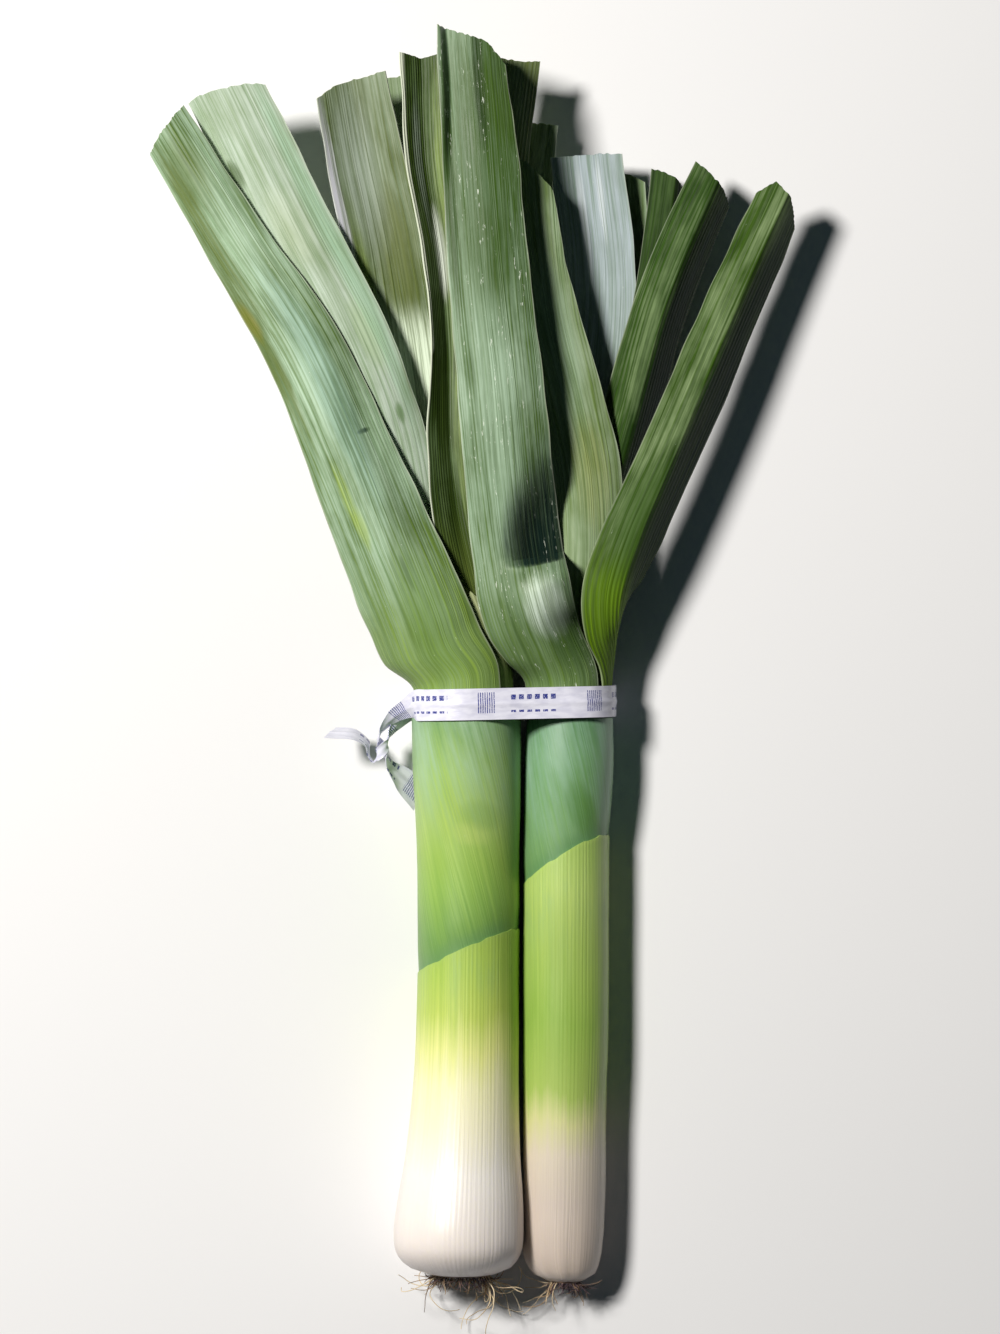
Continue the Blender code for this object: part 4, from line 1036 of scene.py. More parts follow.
# %% Make the blades
cut_material = cut_finish()
for number, (name, blade) in enumerate(BLADES.items()):
    turned = name in TURNED_MARGINS
    leaf_material = leaf_finish(name.replace("_", " "), LOOKS[name], MARKS.get(name, []), turned)
    piece = make_blade(name, blade, 10 * number + 3, [leaf_material, cut_material])
    print(name, len(piece.data.polygons), "faces")

# %% [markdown]
# ## Shanks and outer sheaths
#
# Below the tie each leek is a tight roll of leaf sheaths, the shank. The outermost sheath is
# cut off at a slanting collar. It is a tube with a real, thin rim that the shank comes out
# of. Just below the rim the shank's skin runs inside the wall of the sheath, out of sight.
# Both follow the same stages: half width and lift at a few places from the basal plate
# to the neck. A smooth curve through the stages rounds the bulb. Ribs run along both, and
# the underside is a little flat, where the bunch rests.

# %% Shank stages
Stage = namedtuple("Stage", "y x half lift")
STAGES = {
    "left": [
        Stage(-242.5, -15.4, 14.5, 5.0),
        Stage(-240.5, -15.8, 19.5, 1.6),
        Stage(-235.5, -16.4, 24.2, 0.0),
        Stage(-226.0, -16.6, 26.0, 0.0),
        Stage(-214.0, -16.0, 25.2, 0.0),
        Stage(-196.0, -15.0, 23.0, 0.0),
        Stage(-170.0, -13.9, 21.2, 0.0),
        Stage(-135.0, -13.1, 20.5, 0.0),
        Stage(-100.0, -12.8, 20.4, 0.0),
        Stage(-70.0, -12.9, 20.5, 0.0),
        Stage(-42.0, -13.2, 21.4, 1.6),
        Stage(SHANK_TOP, -13.4, 21.6, 3.3),
    ],
    "right": [
        Stage(-246.0, 26.6, 7.5, 8.0),
        Stage(-244.0, 26.0, 11.5, 4.4),
        Stage(-239.0, 25.2, 14.6, 1.4),
        Stage(-230.0, 25.0, 16.2, 0.1),
        Stage(-214.0, 25.4, 16.5, 0.0),
        Stage(-180.0, 25.8, 16.7, 0.0),
        Stage(-140.0, 26.3, 17.0, 0.0),
        Stage(-100.0, 26.4, 17.1, 0.0),
        Stage(-70.0, 26.5, 17.3, 0.0),
        Stage(-42.0, 27.4, 17.8, 1.6),
        Stage(SHANK_TOP, 27.9, 17.1, 3.3),
    ],
}
FLATTENED = 1.0

Collar = namedtuple("Collar", "y tilt clock")
COLLARS = {
    "left": Collar(y=-114.0, tilt=9.5, clock=20.0),
    "right": Collar(y=-78.0, tilt=11.0, clock=25.0),
}

# %% Shank and sheath surfaces
SKIN_POINTS = 300
SKIN_ROW = 2.5
SHEATH_THICK = 1.1
RIM_THICK = 0.4
RIM_BLEND = 10.0
FOOT_RISE = 1.0
SKIN_RIB = 1.7
SKIN_RELIEF = 0.035
SLANT = 0.28
BULB_RIB = 5.0
BULB_RELIEF = 0.28
BULB_TOP = 36.0
BULB_WAVE = 60.0
DENT = 0.35
DENT_LENGTH = 30.0
CAP_SHARE = 0.02
RIM_REACH = 4.0
SHANK_GAP = 0.5
RIM_GAP = 0.1
RIM_RAGGED = 0.4
TURN = np.linspace(0, 2 * math.pi, SKIN_POINTS, endpoint=False)


def stage_at(side, y):
    """Centre x, half width and lift at y, on smooth curves that are level where they turn."""
    stages = STAGES[side]
    at = np.array([stage.y for stage in stages])
    y = np.asarray(y, float)
    found = []
    for values in ([s.x for s in stages], [s.half for s in stages], [s.lift for s in stages]):
        values = np.array(values)
        secants = np.diff(values) / np.diff(at)
        slopes = np.concatenate([[secants[0]], (secants[1:] + secants[:-1]) / 2, [secants[-1]]])
        turning = secants[1:] * secants[:-1] <= 0
        slopes[1:-1][turning] = 0
        k = np.clip(np.searchsorted(at, y, side="right") - 1, 0, len(at) - 2)
        step = at[k + 1] - at[k]
        u = np.clip((y - at[k]) / step, 0, 1)
        found.append(eased(u, values[k], values[k + 1], slopes[k] * step, slopes[k + 1] * step))
    return found


def skin_ring(side, y, inset, seed, slant=0.0):
    """A ring round a shank, inside its outer surface by inset, with its ribs."""
    y = y + 0 * TURN
    x, half, lift = stage_at(side, y)
    foot = STAGES[side][0].y
    girth = TURN * LEEKS[side].radius - slant * y
    ribs = SKIN_RELIEF * np.cos(2 * math.pi * girth / SKIN_RIB)
    bulb = np.clip(1 - (y - foot) / BULB_TOP, 0, 1)
    ribs = ribs + BULB_RELIEF * bulb * hills(girth / BULB_RIB, y / BULB_WAVE, seed)
    ribs = ribs + DENT * hills(TURN * 2 / math.pi, y / DENT_LENGTH, seed + 1) * (1 - bulb)
    radius = half - inset + ribs
    floor_height = np.maximum(inset, 0)
    z = np.maximum(half + lift - FLATTENED + radius * np.sin(TURN), floor_height)
    return np.stack([x + radius * np.cos(TURN), y, z], 1)


def skin_place(side, y, seed, slant=0.0):
    """Millimetres round the shank and along it, and a number of its own for the noise."""
    y = y + 0 * TURN
    return np.stack([(TURN - math.pi / 2) * LEEKS[side].radius - slant * y, y, 0 * y + seed], 1)


def make_tube(name, rings, places, rims, finish, capped):
    """A piece through closed rings, capped with a ring that shrinks to a point at each end."""
    if capped:
        for end in (0, -1):
            middle = rings[end].mean(0)
            inner = middle + (rings[end] - middle) * CAP_SHARE
            where = 0 if end == 0 else len(rings)
            rings.insert(where, inner)
            places.insert(where, places[end])
            rims.insert(where, rims[end])
    rows = len(rings)
    faces = grid_faces(rows, SKIN_POINTS, wrap=True)
    if not capped:
        j = np.arange(SKIN_POINTS)
        k = (j + 1) % SKIN_POINTS
        last = (rows - 1) * SKIN_POINTS
        faces = np.concatenate([faces, np.stack([last + j, last + k, k, j], 1)])
    points = np.concatenate(rings)
    attributes = {"place": np.concatenate(places), "margin": np.concatenate(rims)}
    return make_piece(f"{name}_fine", points, faces, finish, [name], attributes)


def make_shank(side, seed, finish):
    """The veins of the shank slant a little, because its leaf wraps round it."""
    collar = COLLARS[side]
    rim = collar.y + collar.tilt * np.cos(TURN - math.radians(collar.clock))
    rings, places, rims = [], [], []
    for y in [*np.arange(STAGES[side][1].y + FOOT_RISE, SHANK_TOP, SKIN_ROW), SHANK_TOP]:
        covered = np.clip((rim + RIM_BLEND - y) / RIM_BLEND, 0, 1)
        deep = np.where(y < rim - RIM_REACH, SHEATH_THICK + SHANK_GAP, RIM_THICK + RIM_GAP)
        rings.append(skin_ring(side, y, covered * deep, seed, SLANT))
        places.append(skin_place(side, y, seed, SLANT))
        rims.append(y - rim)
    return make_tube(f"{side}_shank", rings, places, rims, finish, capped=True)


def make_sheath(side, seed, finish):
    """Up the outside, over the rim, and down the inside."""
    collar = COLLARS[side]
    rim = collar.y + collar.tilt * np.cos(TURN - math.radians(collar.clock))
    rim = rim + RIM_RAGGED * hills(TURN * 6, 0.0, seed)
    foot = STAGES[side][0].y
    shares = np.linspace(0, 1, round((collar.y - foot) / SKIN_ROW))
    rings, places, rims = [], [], []
    for turned_in, part in ((False, shares), (True, shares[::-3])):
        for share in part:
            y = foot + (rim - foot) * share
            near_rim = np.clip((y - rim + RIM_REACH) / RIM_REACH, 0, 1)
            thick = SHEATH_THICK + (RIM_THICK - SHEATH_THICK) * near_rim
            rings.append(skin_ring(side, y, thick * turned_in, seed))
            places.append(skin_place(side, y, seed))
            rims.append(y - rim)
    return make_tube(f"{side}_sheath", rings, places, rims, finish, capped=False)


# %% [markdown]
# ## The shank finish
#
# A leek is white where soil kept the light off it, and turns through cream and yellow-green
# to the blue-green of its leaves. A colour ramp along the piece holds those stages, and noise
# shifts it a little from rib to rib, so that no boundary is a straight line. Above the collar
# the bloom lies over the green, most of all towards the neck.

# %% Shank finish
STREAK_SHIFT = 19.8
BROAD_SHIFT = 14.4
RIBS_SHOW_FROM = -190.0
RIBS_SHOW_TO = -140.0
SKIN_DARKER = (0.72, 0.82, 0.62, 1.0)
SKIN_LIGHTER = (1.14, 1.12, 1.14, 1.0)
SKIN_GLOSS = 0.36
SKIN_BUMP = 0.06
SKIN_EVENNESS = 0.2
SKIN_RUBBED = 0.35
SKIN_WAX_ROUGHER = 0.15
SKIN_SCRATCHED = 0.15
SKIN_FLECKS = 0.35
RIM_STRENGTH = 0.7
LIGHT_INSIDE = 0.12
LIGHT_REACH = (0.004, 0.004, 0.002)


def stage_ramp(tree, value, stops):
    """A colour ramp whose stops are given as millimetres along the bench."""
    low, high = stops[0][0], stops[-1][0]
    ramp = tree.nodes.new("ShaderNodeValToRGB")
    feed(tree, ramp.inputs[0], linear(tree, value, low, high))
    elements = ramp.color_ramp.elements
    while len(elements) < len(stops):
        elements.new(0.5)
    for element, (y, colour) in zip(elements, stops):
        element.position = (y - low) / (high - low)
        element.color = from_screen(*colour)
    return ramp.outputs[0]


def skin_finish(
    name, stops, wax_colour, waxiness, contrast, wax_from, wax_to, rim_tint_and_collar_shade, rim_reach, marks
):
    """Skin of a shank or sheath. The wax sets in from wax_from to wax_to along the bench."""
    material, tree, shader = new_finish(name)
    place = attribute(tree, "place").outputs["Vector"]
    along = split(tree, place)[1]
    vein = place_group(tree, veins, Place=place, Rib_Spacing=SKIN_RIB, Evenness=SKIN_EVENNESS)
    streaky = maths(tree, "SUBTRACT", noise(tree, place, 0.45, 0.004, detail=3.0), 0.5)
    broad = maths(tree, "SUBTRACT", noise(tree, place, 0.06, 0.008), 0.5)
    shifted = maths(tree, "MULTIPLY_ADD", streaky, STREAK_SHIFT, along)
    shifted = maths(tree, "MULTIPLY_ADD", broad, BROAD_SHIFT, shifted)
    skin = stage_ramp(tree, shifted, stops)
    green = between(tree, shifted, RIBS_SHOW_FROM, RIBS_SHOW_TO)
    ribbed = mix(
        tree,
        mix(tree, 0.5, vein["Ribs"], vein["Threads"]),
        tinted(tree, skin, SKIN_DARKER),
        tinted(tree, skin, SKIN_LIGHTER),
    )
    skin = mix(tree, maths(tree, "MULTIPLY", green, contrast), skin, ribbed)
    wax = place_group(
        tree, bloom, Place=place, Amount=waxiness, Rubbing=SKIN_RUBBED, Ribs=vein["Ribs"]
    )
    waxed = maths(tree, "MULTIPLY", wax["Wax"], between(tree, along, wax_from, wax_to))
    skin = mix(tree, waxed, skin, from_screen(*wax_colour))
    # Painted shade: on a shank the colour darkens just above the collar, where the shank comes out of the
    # sheath. On a sheath the same mix tints the last few millimetres below its rim.
    from_rim = maths(tree, "ABSOLUTE", attribute(tree, "margin").outputs["Fac"])
    near = between(tree, from_rim, rim_reach, 0.0)
    skin = mix(tree, maths(tree, "MULTIPLY", near, RIM_STRENGTH), skin, from_screen(*rim_tint_and_collar_shade))
    for mark in marks:
        patch = mark_mask(tree, place, vein["Threads"], mark)
        skin = mix(tree, patch, skin, from_screen(*mark.colour))
    flecks = place_group(tree, scratches, Place=place, Amount=SKIN_SCRATCHED)
    skin = mix(tree, maths(tree, "MULTIPLY", flecks["Mask"], SKIN_FLECKS), skin, SCRATCH_WHITE)
    feed(tree, shader.inputs["Base Color"], skin)
    feed(tree, shader.inputs["Roughness"], maths(tree, "MULTIPLY_ADD", waxed, SKIN_WAX_ROUGHER, SKIN_GLOSS))
    shader.inputs["Subsurface Weight"].default_value = LIGHT_INSIDE
    shader.inputs["Subsurface Radius"].default_value = LIGHT_REACH
    shader.inputs["Subsurface Scale"].default_value = 1.0
    bump(tree, shader, vein["Height"], SKIN_BUMP)
    return material


WHITE = (244, 239, 230)
BASE = (238, 226, 220)

# On the shanks the colour near the rim is painted shade just above the collar. On the sheaths it only tints
# the last millimetres below the rim.
SKINS = {
    "left_sheath": dict(
        stops=[
            (-243, BASE), (-225, (240, 231, 224)), (-200, WHITE), (-182, (244, 239, 208)),
            (-165, (243, 240, 192)), (-152, (230, 233, 150)), (-138, (190, 209, 102)),
            (-122, (174, 201, 94)), (-100, (164, 194, 90)),
        ],
        wax_colour=(150, 184, 120), waxiness=0.10, contrast=0.5, wax_from=-150, wax_to=-110,
        rim_tint_and_collar_shade=(164, 196, 96), rim_reach=2.5,
        marks=[],
    ),
    "right_sheath": dict(
        stops=[
            (-247, (206, 190, 178)), (-215, (206, 193, 181)), (-196, (214, 203, 184)),
            (-182, (208, 208, 150)), (-170, (166, 190, 98)), (-140, (150, 182, 84)),
            (-110, (166, 192, 98)), (-88, (180, 204, 114)), (-66, (166, 196, 104)),
        ],
        wax_colour=(150, 184, 120), waxiness=0.16, contrast=0.5, wax_from=-140, wax_to=-80,
        rim_tint_and_collar_shade=(176, 206, 106), rim_reach=2.5,
        marks=[],
    ),
    "left_shank": dict(
        stops=[
            (-245, WHITE), (-140, (150, 186, 84)), (-122, (112, 152, 82)), (-108, (118, 158, 84)),
            (-88, (146, 182, 88)), (-62, (166, 194, 94)), (-44, (160, 192, 104)), (-20, (124, 162, 110)),
        ],
        wax_colour=(164, 196, 162), waxiness=0.50, contrast=0.6, wax_from=-80, wax_to=-30,
        rim_tint_and_collar_shade=(104, 146, 90), rim_reach=8.0,
        marks=[
            Mark(-66, -2.0 + SLANT * 66, 4.5, 8.0, (178, 200, 110), 0.6),
            Mark(-59, -6.0 + SLANT * 59, 5.5, 9.0, (118, 156, 78), 0.35),
        ],
    ),
    "right_shank": dict(
        stops=[
            (-247, WHITE), (-100, (130, 170, 84)), (-78, (112, 152, 92)), (-56, (116, 158, 96)),
            (-36, (112, 156, 104)), (-20, (96, 138, 100)),
        ],
        wax_colour=(144, 180, 154), waxiness=0.50, contrast=0.6, wax_from=-95, wax_to=-40,
        rim_tint_and_collar_shade=(96, 140, 92), rim_reach=8.0,
        marks=[
            Mark(-56, -6.0 + SLANT * 56, 10.0, 6.0, (84, 130, 60), 0.6),
        ],
    ),
}

for number, side in enumerate(LEEKS):
    for kind, make in (("shank", make_shank), ("sheath", make_sheath)):
        name = f"{side}_{kind}"
        piece = make(side, 300 + 20 * number, [skin_finish(name.replace("_", " "), **SKINS[name])])
        print(name, len(piece.data.polygons), "faces")

# %% [markdown]
# ## Roots
#
# Under each shank is the basal plate, a hard disc that the roots grow from. Fresh roots are
# white cords; after trimming and drying they are tan, thin and curly. Each one here walks
# away from the plate in small steps. It turns a little at each step, sinks towards the floor
# and then lies on it. A dark fringe of short stubs sits right under the plate.

# %% Root helpers
ROOT_SIDES = 6
ROOT_STEP = 1.4
ROOT_REST = 0.6
SPIN_KEPT = 0.82
SPIN_NEW = 0.5
PLATE_POINTS = 48
PLATE_ROUGH = 0.05
# The plate from its rim to its middle: share of its radius, share of its depth.
PLATE_PROFILE = ((1.0, 0.0), (1.0, 0.25), (0.93, 0.6), (0.75, 0.85), (0.5, 1.0), (0.05, 1.05))
PLATE_SHADE = 0.75
ROOT_TAPER = 0.55
SHADE_VARIES = 0.12
# Roots start on the plate between these shares of its area, and turn outwards by these.
ROOTED = (0.25, 0.95)
OUTWARDS = (0.2, 1.2)

Plate = namedtuple("Plate", "y x z radius depth")
PLATES = {
    "left": Plate(y=-242.4, x=-15.4, z=19.2, radius=11.5, depth=1.7),
    "right": Plate(y=-245.9, x=26.6, z=15.4, radius=6.2, depth=1.3),
}


def strand(route, first, last):
    """Rings along a root that tapers from first to last millimetres across."""
    along = tangents(route)
    side = unit(np.cross(along, np.array([0.05, 0.3, 1.0])))
    up = np.cross(side, along)
    turn = np.linspace(0, 2 * math.pi, ROOT_SIDES, endpoint=False)
    widths = np.linspace(first, last, len(route)) / 2
    return (
        route[:, None]
        + (widths[:, None] * np.cos(turn))[..., None] * side[:, None]
        + (widths[:, None] * np.sin(turn))[..., None] * up[:, None]
    )


def walk(dice, start, heading, length, curl, sink):
    """A curly route from the plate: it wanders, sinks and then lies on the floor."""
    at, heading = np.array(start, float), unit(np.array(heading, float))
    spin = dice.normal(0, curl, 3)
    route = [at.copy()]
    for _ in range(max(3, round(length / ROOT_STEP))):
        spin = SPIN_KEPT * spin + dice.normal(0, curl, 3) * SPIN_NEW
        heading = unit(heading + np.cross(spin, heading) + np.array([0, 0, -sink]))
        at = at + heading * ROOT_STEP
        if at[2] < ROOT_REST:
            at[2] = ROOT_REST
            heading[2] = abs(heading[2]) * 0.2
        route.append(at.copy())
    return np.array(route)


def plate_rings(plate, seed):
    """The basal plate as a rough, rounded disc."""
    turn = np.linspace(0, 2 * math.pi, PLATE_POINTS, endpoint=False)
    rings = []
    for share, depth in PLATE_PROFILE:
        rough = 1 + PLATE_ROUGH * hills(turn * 5, share * 9, seed)
        x = plate.x + plate.radius * share * rough * np.cos(turn)
        z = plate.z + plate.radius * share * rough * np.sin(turn)
        y = plate.y - plate.depth * (depth + 0.15 * hills(turn * 4, share * 7, seed + 1))
        rings.append(np.stack([x, y, z], 1))
    return np.array(rings)


def make_roots(side, kinds, seed, finish):
    """One piece from the plate and all its strands. Each kind: how many, from which clock
    angles, how long, how curly, how thick, how dark and how fast it sinks."""
    dice = np.random.default_rng(seed)
    plate = PLATES[side]
    grids, shades = [plate_rings(plate, seed)], [PLATE_SHADE]
    for count, clocks, lengths, curl, thick, dark, sink in kinds:
        for _ in range(count):
            clock = math.radians(dice.uniform(*clocks))
            out = np.array([math.cos(clock), 0.0, math.sin(clock)])
            reach = plate.radius * math.sqrt(dice.uniform(*ROOTED))
            start = np.array([plate.x, plate.y - plate.depth * 0.5, plate.z]) + out * reach
            heading = out * dice.uniform(*OUTWARDS) + np.array([0, -1.0, 0])
            route = walk(dice, start, heading, dice.uniform(*lengths), curl, sink)
            grids.append(strand(route, thick, thick * ROOT_TAPER))
            shades.append(float(np.clip(dark + dice.normal(0, SHADE_VARIES), 0, 1)))
    points, faces, place, first = [], [], [], 0
    for number, (grid, shade) in enumerate(zip(grids, shades)):
        rows, columns = grid.shape[:2]
        faces += [tuple(f) for f in grid_faces(rows, columns, first=first, wrap=True)]
        faces.append(tuple(range(first + columns - 1, first - 1, -1)))
        last = first + (rows - 1) * columns
        faces.append(tuple(range(last, last + columns)))
        points.append(grid.reshape(-1, 3))
        along = np.repeat(np.arange(rows) * ROOT_STEP, columns)
        place.append(np.stack([0 * along + number, along, 0 * along + shade], 1))
        first += rows * columns
    points = np.concatenate(points)
    attributes = {"place": np.concatenate(place)}
    name = f"{side}_roots"
    return make_piece(f"{name}_fine", points, faces, finish, [name], attributes)


# %% Root finish
ROOT_CREAM = from_screen(222, 204, 170)
ROOT_TAN = from_screen(170, 140, 104)
ROOT_OLD = from_screen(74, 56, 66)
ROOT_ROUGHNESS = 0.75
ROOT_BUMP = 0.12


def root_finish():
    """Tan where dry and clean, brown to purplish black where old. Place z holds the darkness."""
    material, tree, shader = new_finish("dry roots")
    place = attribute(tree, "place").outputs["Vector"]
    number, along, dark = split(tree, place)
    patchy = noise(tree, place, 3.1, 0.25, detail=3.0)
    dark = maths(tree, "MULTIPLY_ADD", maths(tree, "SUBTRACT", patchy, 0.5), 0.7, dark, clamp=True)
    cream = mix(tree, between(tree, dark, 0.1, 0.5), ROOT_CREAM, ROOT_TAN)
    skin = mix(tree, between(tree, dark, 0.5, 0.95), cream, ROOT_OLD)
    feed(tree, shader.inputs["Base Color"], skin)
    feed(tree, shader.inputs["Roughness"], ROOT_ROUGHNESS)
    bump(tree, shader, patchy, ROOT_BUMP)
    return material


# %% Make the roots
ROOT_KINDS = {
    "left": [
        (110, (0, 360), (3, 8), 0.22, 0.42, 0.88, 0.02),
        (34, (150, 390), (8, 18), 0.20, 0.42, 0.55, 0.05),
        (20, (150, 400), (18, 38), 0.15, 0.50, 0.15, 0.05),
    ],
    "right": [
        (60, (0, 360), (2, 7), 0.22, 0.42, 0.92, 0.02),
        (14, (130, 260), (8, 22), 0.18, 0.42, 0.35, 0.05),
        (12, (-60, 40), (5, 12), 0.20, 0.42, 0.80, 0.04),
    ],
}
root_material = root_finish()
for number, (side, kinds) in enumerate(ROOT_KINDS.items()):
    piece = make_roots(side, kinds, 700 + number, [root_material])
    print(piece.name, len(piece.data.polygons), "faces")

# %% [markdown]
# ## The twist tie
#
# A flat strip of white film, taken to be about half an inch wide, with a soft wire sealed
# along its middle. It goes once round both necks. Its ends are twisted together beside the
# left leek, and then they spread. The strip is one long ribbon through the same places as in
# the frame, with a thin cross-section that has a small ridge over the wire.

# %% Tie route
TIE_Y = -14.8
TIE_WIDTH = 12.4
TIE_PINCHED = 4.6
TIE_HUMP = 1.4
TIE_GAP = 0.35
TIE_SLOPE = 0.02
TIE_LEAVES = math.radians(150)
PINCH_FROM = (-47.0, -29.5, 20.5)
PINCH_TO = (-47.4, -36.5, 19.0)
PINCH_RADIUS = 1.75
PINCH_TURNS = 0.5

Ribbon = namedtuple("Ribbon", "at across width")
UPPER_LEAD = [
    Ribbon((-37.2, -16.8, 28.2), (-0.3, 0.85, 0.3), 8.0),
    Ribbon((-42.6, -20.0, 24.0), (-0.45, 0.6, 0.6), 6.5),
    Ribbon((-46.8, -24.6, 21.9), (-0.4, 0.2, 0.9), 5.2),
]
LOWER_LEAD = [
    Ribbon((-36.8, -18.2, 16.6), (-0.2, 0.85, 0.3), 8.0),
    Ribbon((-41.0, -22.4, 18.6), (-0.35, 0.6, 0.6), 6.5),
    Ribbon((-44.0, -26.4, 19.6), (-0.3, 0.2, 0.9), 5.2),
]
UPPER_TAIL = [
    Ribbon((-44.2, -39.8, 16.2), (0.35, 0.3, -0.9), 6.5),
    Ribbon((-39.4, -44.8, 12.0), (0.6, 0.5, -0.6), 10.5),
    Ribbon((-32.6, -51.8, 7.6), (0.68, 0.62, -0.39), TIE_WIDTH),
]
LOWER_TAIL = [
    Ribbon((-50.6, -38.3, 18.6), (0.0, 0.0, -1.0), 5.0),
    Ribbon((-52.6, -35.6, 19.2), (0.0, 0.1, -1.0), 6.0),
    Ribbon((-53.0, -31.0, 20.4), (0.2, 0.15, -1.0), 8.0),
    Ribbon((-57.0, -27.6, 21.6), (0.1, 0.3, -0.94), 11.0),
    Ribbon((-68.0, -26.2, 22.2), (0.0, 0.33, -0.94), TIE_WIDTH),
]


def tie_loop():
    """The strip's line round both necks, from the left side over the top and back below."""
    left, right = LEEKS["left"], LEEKS["right"]
    reach = TIE_HUMP / 2 + TIE_GAP
    radius_left, radius_right = left.radius + reach, right.radius + reach
    apart = math.hypot(right.x - left.x, right.z - left.z)
    tilt = math.atan2(right.z - left.z, right.x - left.x)
    lean = math.acos((radius_left - radius_right) / apart)
    upper, lower = tilt + lean, tilt - lean

    def arc(leek, radius, first, last, count):
        turn = np.linspace(first, last, count)
        return np.stack([leek.x + radius * np.cos(turn), leek.z + radius * np.sin(turn)], axis=1)

    def straight(start, end):
        return [start + (end - start) * share for share in (0.2, 0.5, 0.8)]

    over = arc(left, radius_left, TIE_LEAVES, upper, 6)
    round_right = arc(right, radius_right, upper, lower, 10)
    under = arc(left, radius_left, lower, -TIE_LEAVES, 6)
    flat = [*over, *straight(over[-1], round_right[0]), *round_right]
    flat += [*straight(round_right[-1], under[0]), *under]
    return [(x, TIE_Y + TIE_SLOPE * (x - left.x), z) for x, z in flat]


def pinch(start_angle, sense):
    """One strand of the pinch, where the two ends are twisted round each other."""
    begin, end = np.array(PINCH_FROM), np.array(PINCH_TO)
    axis = unit(end - begin)
    up = np.array([0.0, 0.0, 1.0])
    up = unit(up - up @ axis * axis)
    side = np.cross(axis, up)
    made = []
    for share in np.linspace(0, 1, 6):
        angle = start_angle + 2 * math.pi * PINCH_TURNS * share
        out_by = math.cos(angle) * up + math.sin(angle) * side
        at_point = begin + (end - begin) * share + PINCH_RADIUS * out_by
        made.append(Ribbon(at_point, sense * np.cross(axis, out_by), TIE_PINCHED))
    return made


# %% Tie pieces
STRIP_CELL = 1.3
STRIP_THICK = 0.30
RIDGE_THICK = 1.0
RIDGE_WIDE = 1.1
STRIP_POINTS = 25
STRIP_WAVE = 0.12
STRIP_WAVE_LENGTH = 9.0
END_REACH = 8.0
END_CUT = 0.35
WIRE_THICK = 0.6
WIRE_SIDES = 10

loop = [Ribbon(point, (0.0, 1.0, 0.0), TIE_WIDTH) for point in tie_loop()]
upper_end = UPPER_LEAD + pinch(0.5 * math.pi, -1) + UPPER_TAIL
lower_end = LOWER_LEAD + pinch(1.5 * math.pi, 1) + LOWER_TAIL
tie_rows = [(*r.at, *r.across, r.width) for r in upper_end[::-1] + loop + lower_end]
tie_line = spline(tie_rows, STRIP_CELL)
tie_spine = tie_line[:, :3]
tie_along = tangents(tie_spine)
tie_across = tie_line[:, 3:6]
tie_across = unit(tie_across - (tie_across * tie_along).sum(1, keepdims=True) * tie_along)
tie_out = np.cross(tie_along, tie_across)
tie_length = distances(tie_spine)
print("strip", round(tie_length[-1]), "mm long")


def make_strip(finish):
    """The film, as one ribbon with a ridge over the wire, a faint wave and slanting ends."""
    place_across = np.linspace(-1, 1, STRIP_POINTS)
    from_end = tie_length[-1] - tie_length
    ends = np.clip(1 - tie_length / END_REACH, 0, 1) - np.clip(1 - from_end / END_REACH, 0, 1)
    end_cut = END_CUT * ends
    top, bottom, place = [], [], []
    for i, width in enumerate(tie_line[:, 6]):
        a = place_across * width / 2
        ridge = np.exp(-((a / RIDGE_WIDE) ** 2))
        thick = STRIP_THICK / 2 + (RIDGE_THICK - STRIP_THICK) / 2 * ridge
        wave = STRIP_WAVE * hills(tie_length[i] / STRIP_WAVE_LENGTH, place_across * 1.5, 91)
        slanted = tie_spine[i] + np.outer(a, tie_across[i] + end_cut[i] * tie_along[i])
        top.append(slanted + np.outer(wave + thick, tie_out[i]))
        bottom.append(slanted + np.outer(wave - thick, tie_out[i]))
        place.append(np.stack([a, 0 * a + tie_length[i], 0 * a], 1))
    rings = np.concatenate([np.array(top), np.array(bottom)[:, ::-1]], axis=1)
    places = np.concatenate([np.array(place), np.array(place)[:, ::-1]], axis=1)
    rows, columns = rings.shape[:2]
    faces = [grid_faces(rows, columns, wrap=True)]
    j = np.arange(STRIP_POINTS - 1)
    for first, flip in ((0, True), ((rows - 1) * columns, False)):
        a, b = first + j, first + j + 1
        c, d = first + columns - 2 - j, first + columns - 1 - j
        strip = np.stack([a, b, c, d], 1)
        faces.append(strip[:, ::-1] if flip else strip)
    points = rings.reshape(-1, 3)
    faces = np.concatenate(faces)
    attributes = {"place": places.reshape(-1, 3)}
    return make_piece("tie_strip_fine", points, faces, finish, ["tie_strip"], attributes)


def make_wire(finish):
    turn = np.linspace(0, 2 * math.pi, WIRE_SIDES, endpoint=False)
    rings = (
        tie_spine[:, None]
        + WIRE_THICK / 2 * np.cos(turn)[None, :, None] * tie_across[:, None]
        + WIRE_THICK / 2 * np.sin(turn)[None, :, None] * tie_out[:, None]
    )
    rows = len(rings)
    faces = [tuple(f) for f in grid_faces(rows, WIRE_SIDES, wrap=True)]
    faces.append(tuple(range(WIRE_SIDES - 1, -1, -1)))
    faces.append(tuple(range((rows - 1) * WIRE_SIDES, rows * WIRE_SIDES)))
    place = np.zeros((rows * WIRE_SIDES, 3))
    place[:, 1] = np.repeat(tie_length, WIRE_SIDES)
    points = rings.reshape(-1, 3)
    return make_piece("tie_wire_fine", points, faces, finish, ["tie_wire"], {"place": place})


# %% [markdown]
# ## The tie's finish
#
# White film with a faint lavender cast and a soft gloss. A real tie carries print, and this
# one gets a plain pattern instead: groups of even blue ticks and rows of short dashes, laid
# out by millimetres along and across the strip.

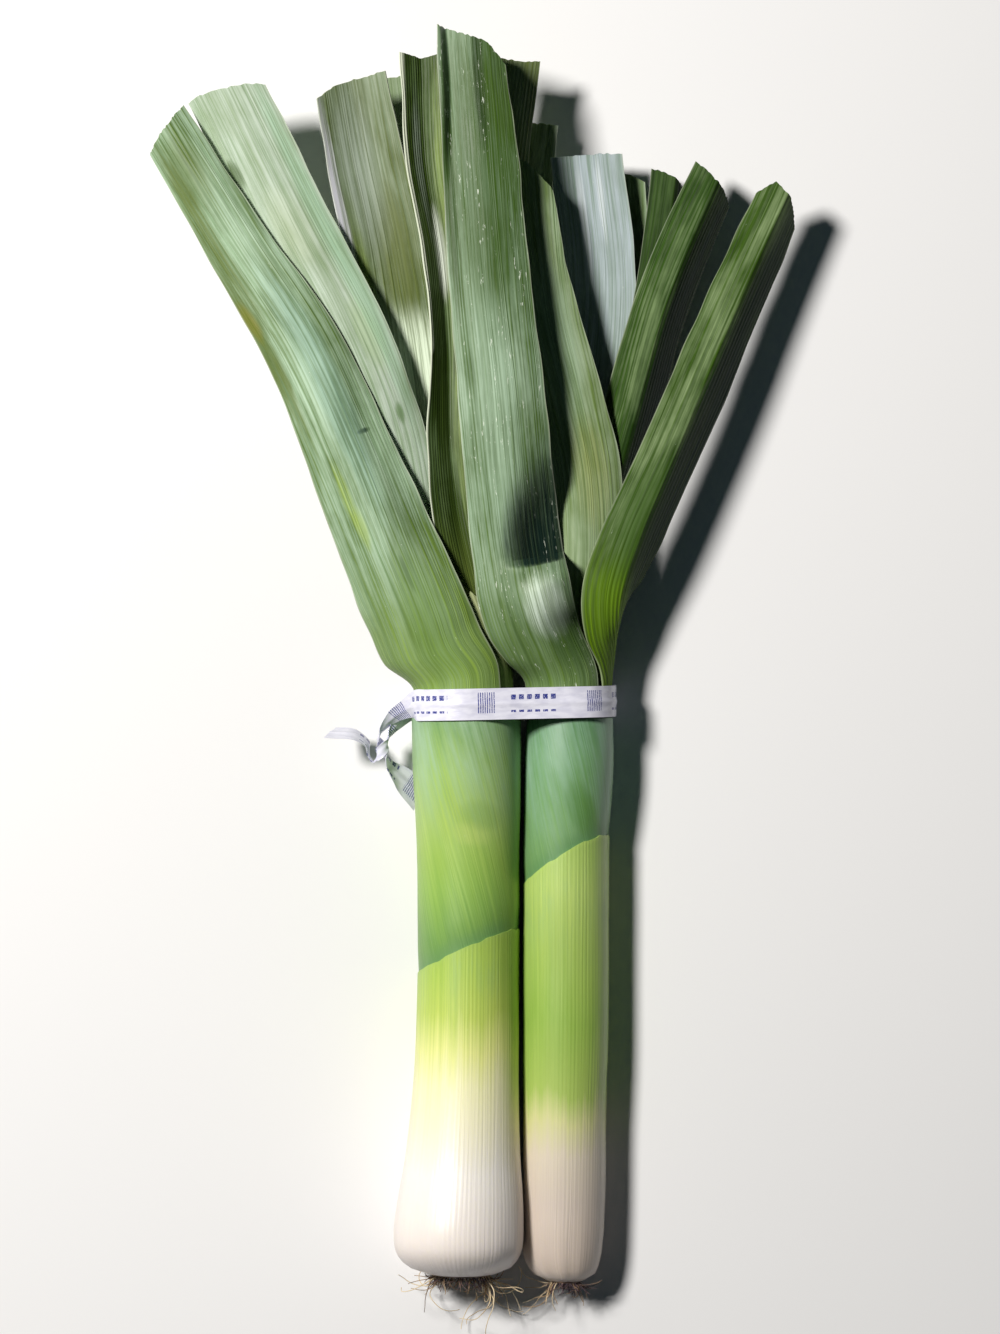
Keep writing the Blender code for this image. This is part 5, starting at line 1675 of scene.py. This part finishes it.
# %% Film and wire finishes
FILM = from_screen(232, 232, 246)
FILM_SHADE = from_screen(214, 214, 232)
INK = from_screen(48, 58, 140)
FILM_CREASES = 0.12
WIRE_PALE = from_screen(150, 150, 152)
WIRE_DARK = from_screen(104, 100, 96)
# The pattern in millimetres: along the strip it repeats, across it rows lie side by side.
PRINT_REPEAT = 44.0
TICKS_ALONG = (1.0, 8.2)
TICKS_ACROSS = (-3.6, 4.6)
TICK_PERIOD = 0.9
TICK_SHARE = 0.45
DASHES_ALONG = (14.0, 33.0)
UPPER_DASHES = (1.6, 3.6)
LOWER_DASHES = (-3.4, -2.5)
DASH_PERIOD = 3.2
DASH_SHARE = 0.62


def inside_of(tree, value, low, high):
    above = maths(tree, "GREATER_THAN", value, low)
    return maths(tree, "MULTIPLY", above, maths(tree, "LESS_THAN", value, high))


def stripes(tree, value, period, share):
    """1 on stripes that repeat each period and fill that share of it."""
    return maths(tree, "LESS_THAN", maths(tree, "FLOORED_MODULO", value, period), period * share)


def film_finish():
    material, tree, shader = new_finish("printed film")
    place = attribute(tree, "place").outputs["Vector"]
    across, along, _ = split(tree, place)
    block = maths(tree, "FLOORED_MODULO", along, PRINT_REPEAT)
    ticks = stripes(tree, along, TICK_PERIOD, TICK_SHARE)
    ticks = maths(tree, "MULTIPLY", ticks, inside_of(tree, block, *TICKS_ALONG))
    ticks = maths(tree, "MULTIPLY", ticks, inside_of(tree, across, *TICKS_ACROSS))
    rows = inside_of(tree, across, *UPPER_DASHES)
    rows = maths(tree, "MAXIMUM", rows, inside_of(tree, across, *LOWER_DASHES))
    dashes = maths(tree, "MULTIPLY", stripes(tree, along, DASH_PERIOD, DASH_SHARE), rows)
    dashes = maths(tree, "MULTIPLY", dashes, inside_of(tree, block, *DASHES_ALONG))
    worn = between(tree, noise(tree, place, 2.0, 2.0, detail=3.0), 0.3, 0.5)
    ink = maths(tree, "MULTIPLY", maths(tree, "MAXIMUM", ticks, dashes), worn)
    cloudy = noise(tree, place, 0.4, 0.15)
    film = mix(tree, between(tree, cloudy, 0.35, 0.7), FILM, FILM_SHADE)
    feed(tree, shader.inputs["Base Color"], mix(tree, ink, film, INK))
    feed(tree, shader.inputs["Roughness"], maths(tree, "MULTIPLY_ADD", cloudy, 0.2, 0.22))
    bump(tree, shader, noise(tree, place, 0.8, 0.3, detail=3.0), FILM_CREASES)
    return material


def wire_finish():
    material, tree, shader = new_finish("soft wire")
    place = attribute(tree, "place").outputs["Vector"]
    dull = noise(tree, place, 1.0, 0.4, detail=3.0)
    steel = mix(tree, dull, WIRE_PALE, WIRE_DARK)
    feed(tree, shader.inputs["Base Color"], steel)
    shader.inputs["Metallic"].default_value = 1.0
    feed(tree, shader.inputs["Roughness"], maths(tree, "MULTIPLY_ADD", dull, 0.3, 0.25))
    return material


strip_piece = make_strip([film_finish()])
wire_piece = make_wire([wire_finish()])
print(strip_piece.name, len(strip_piece.data.polygons), "faces")
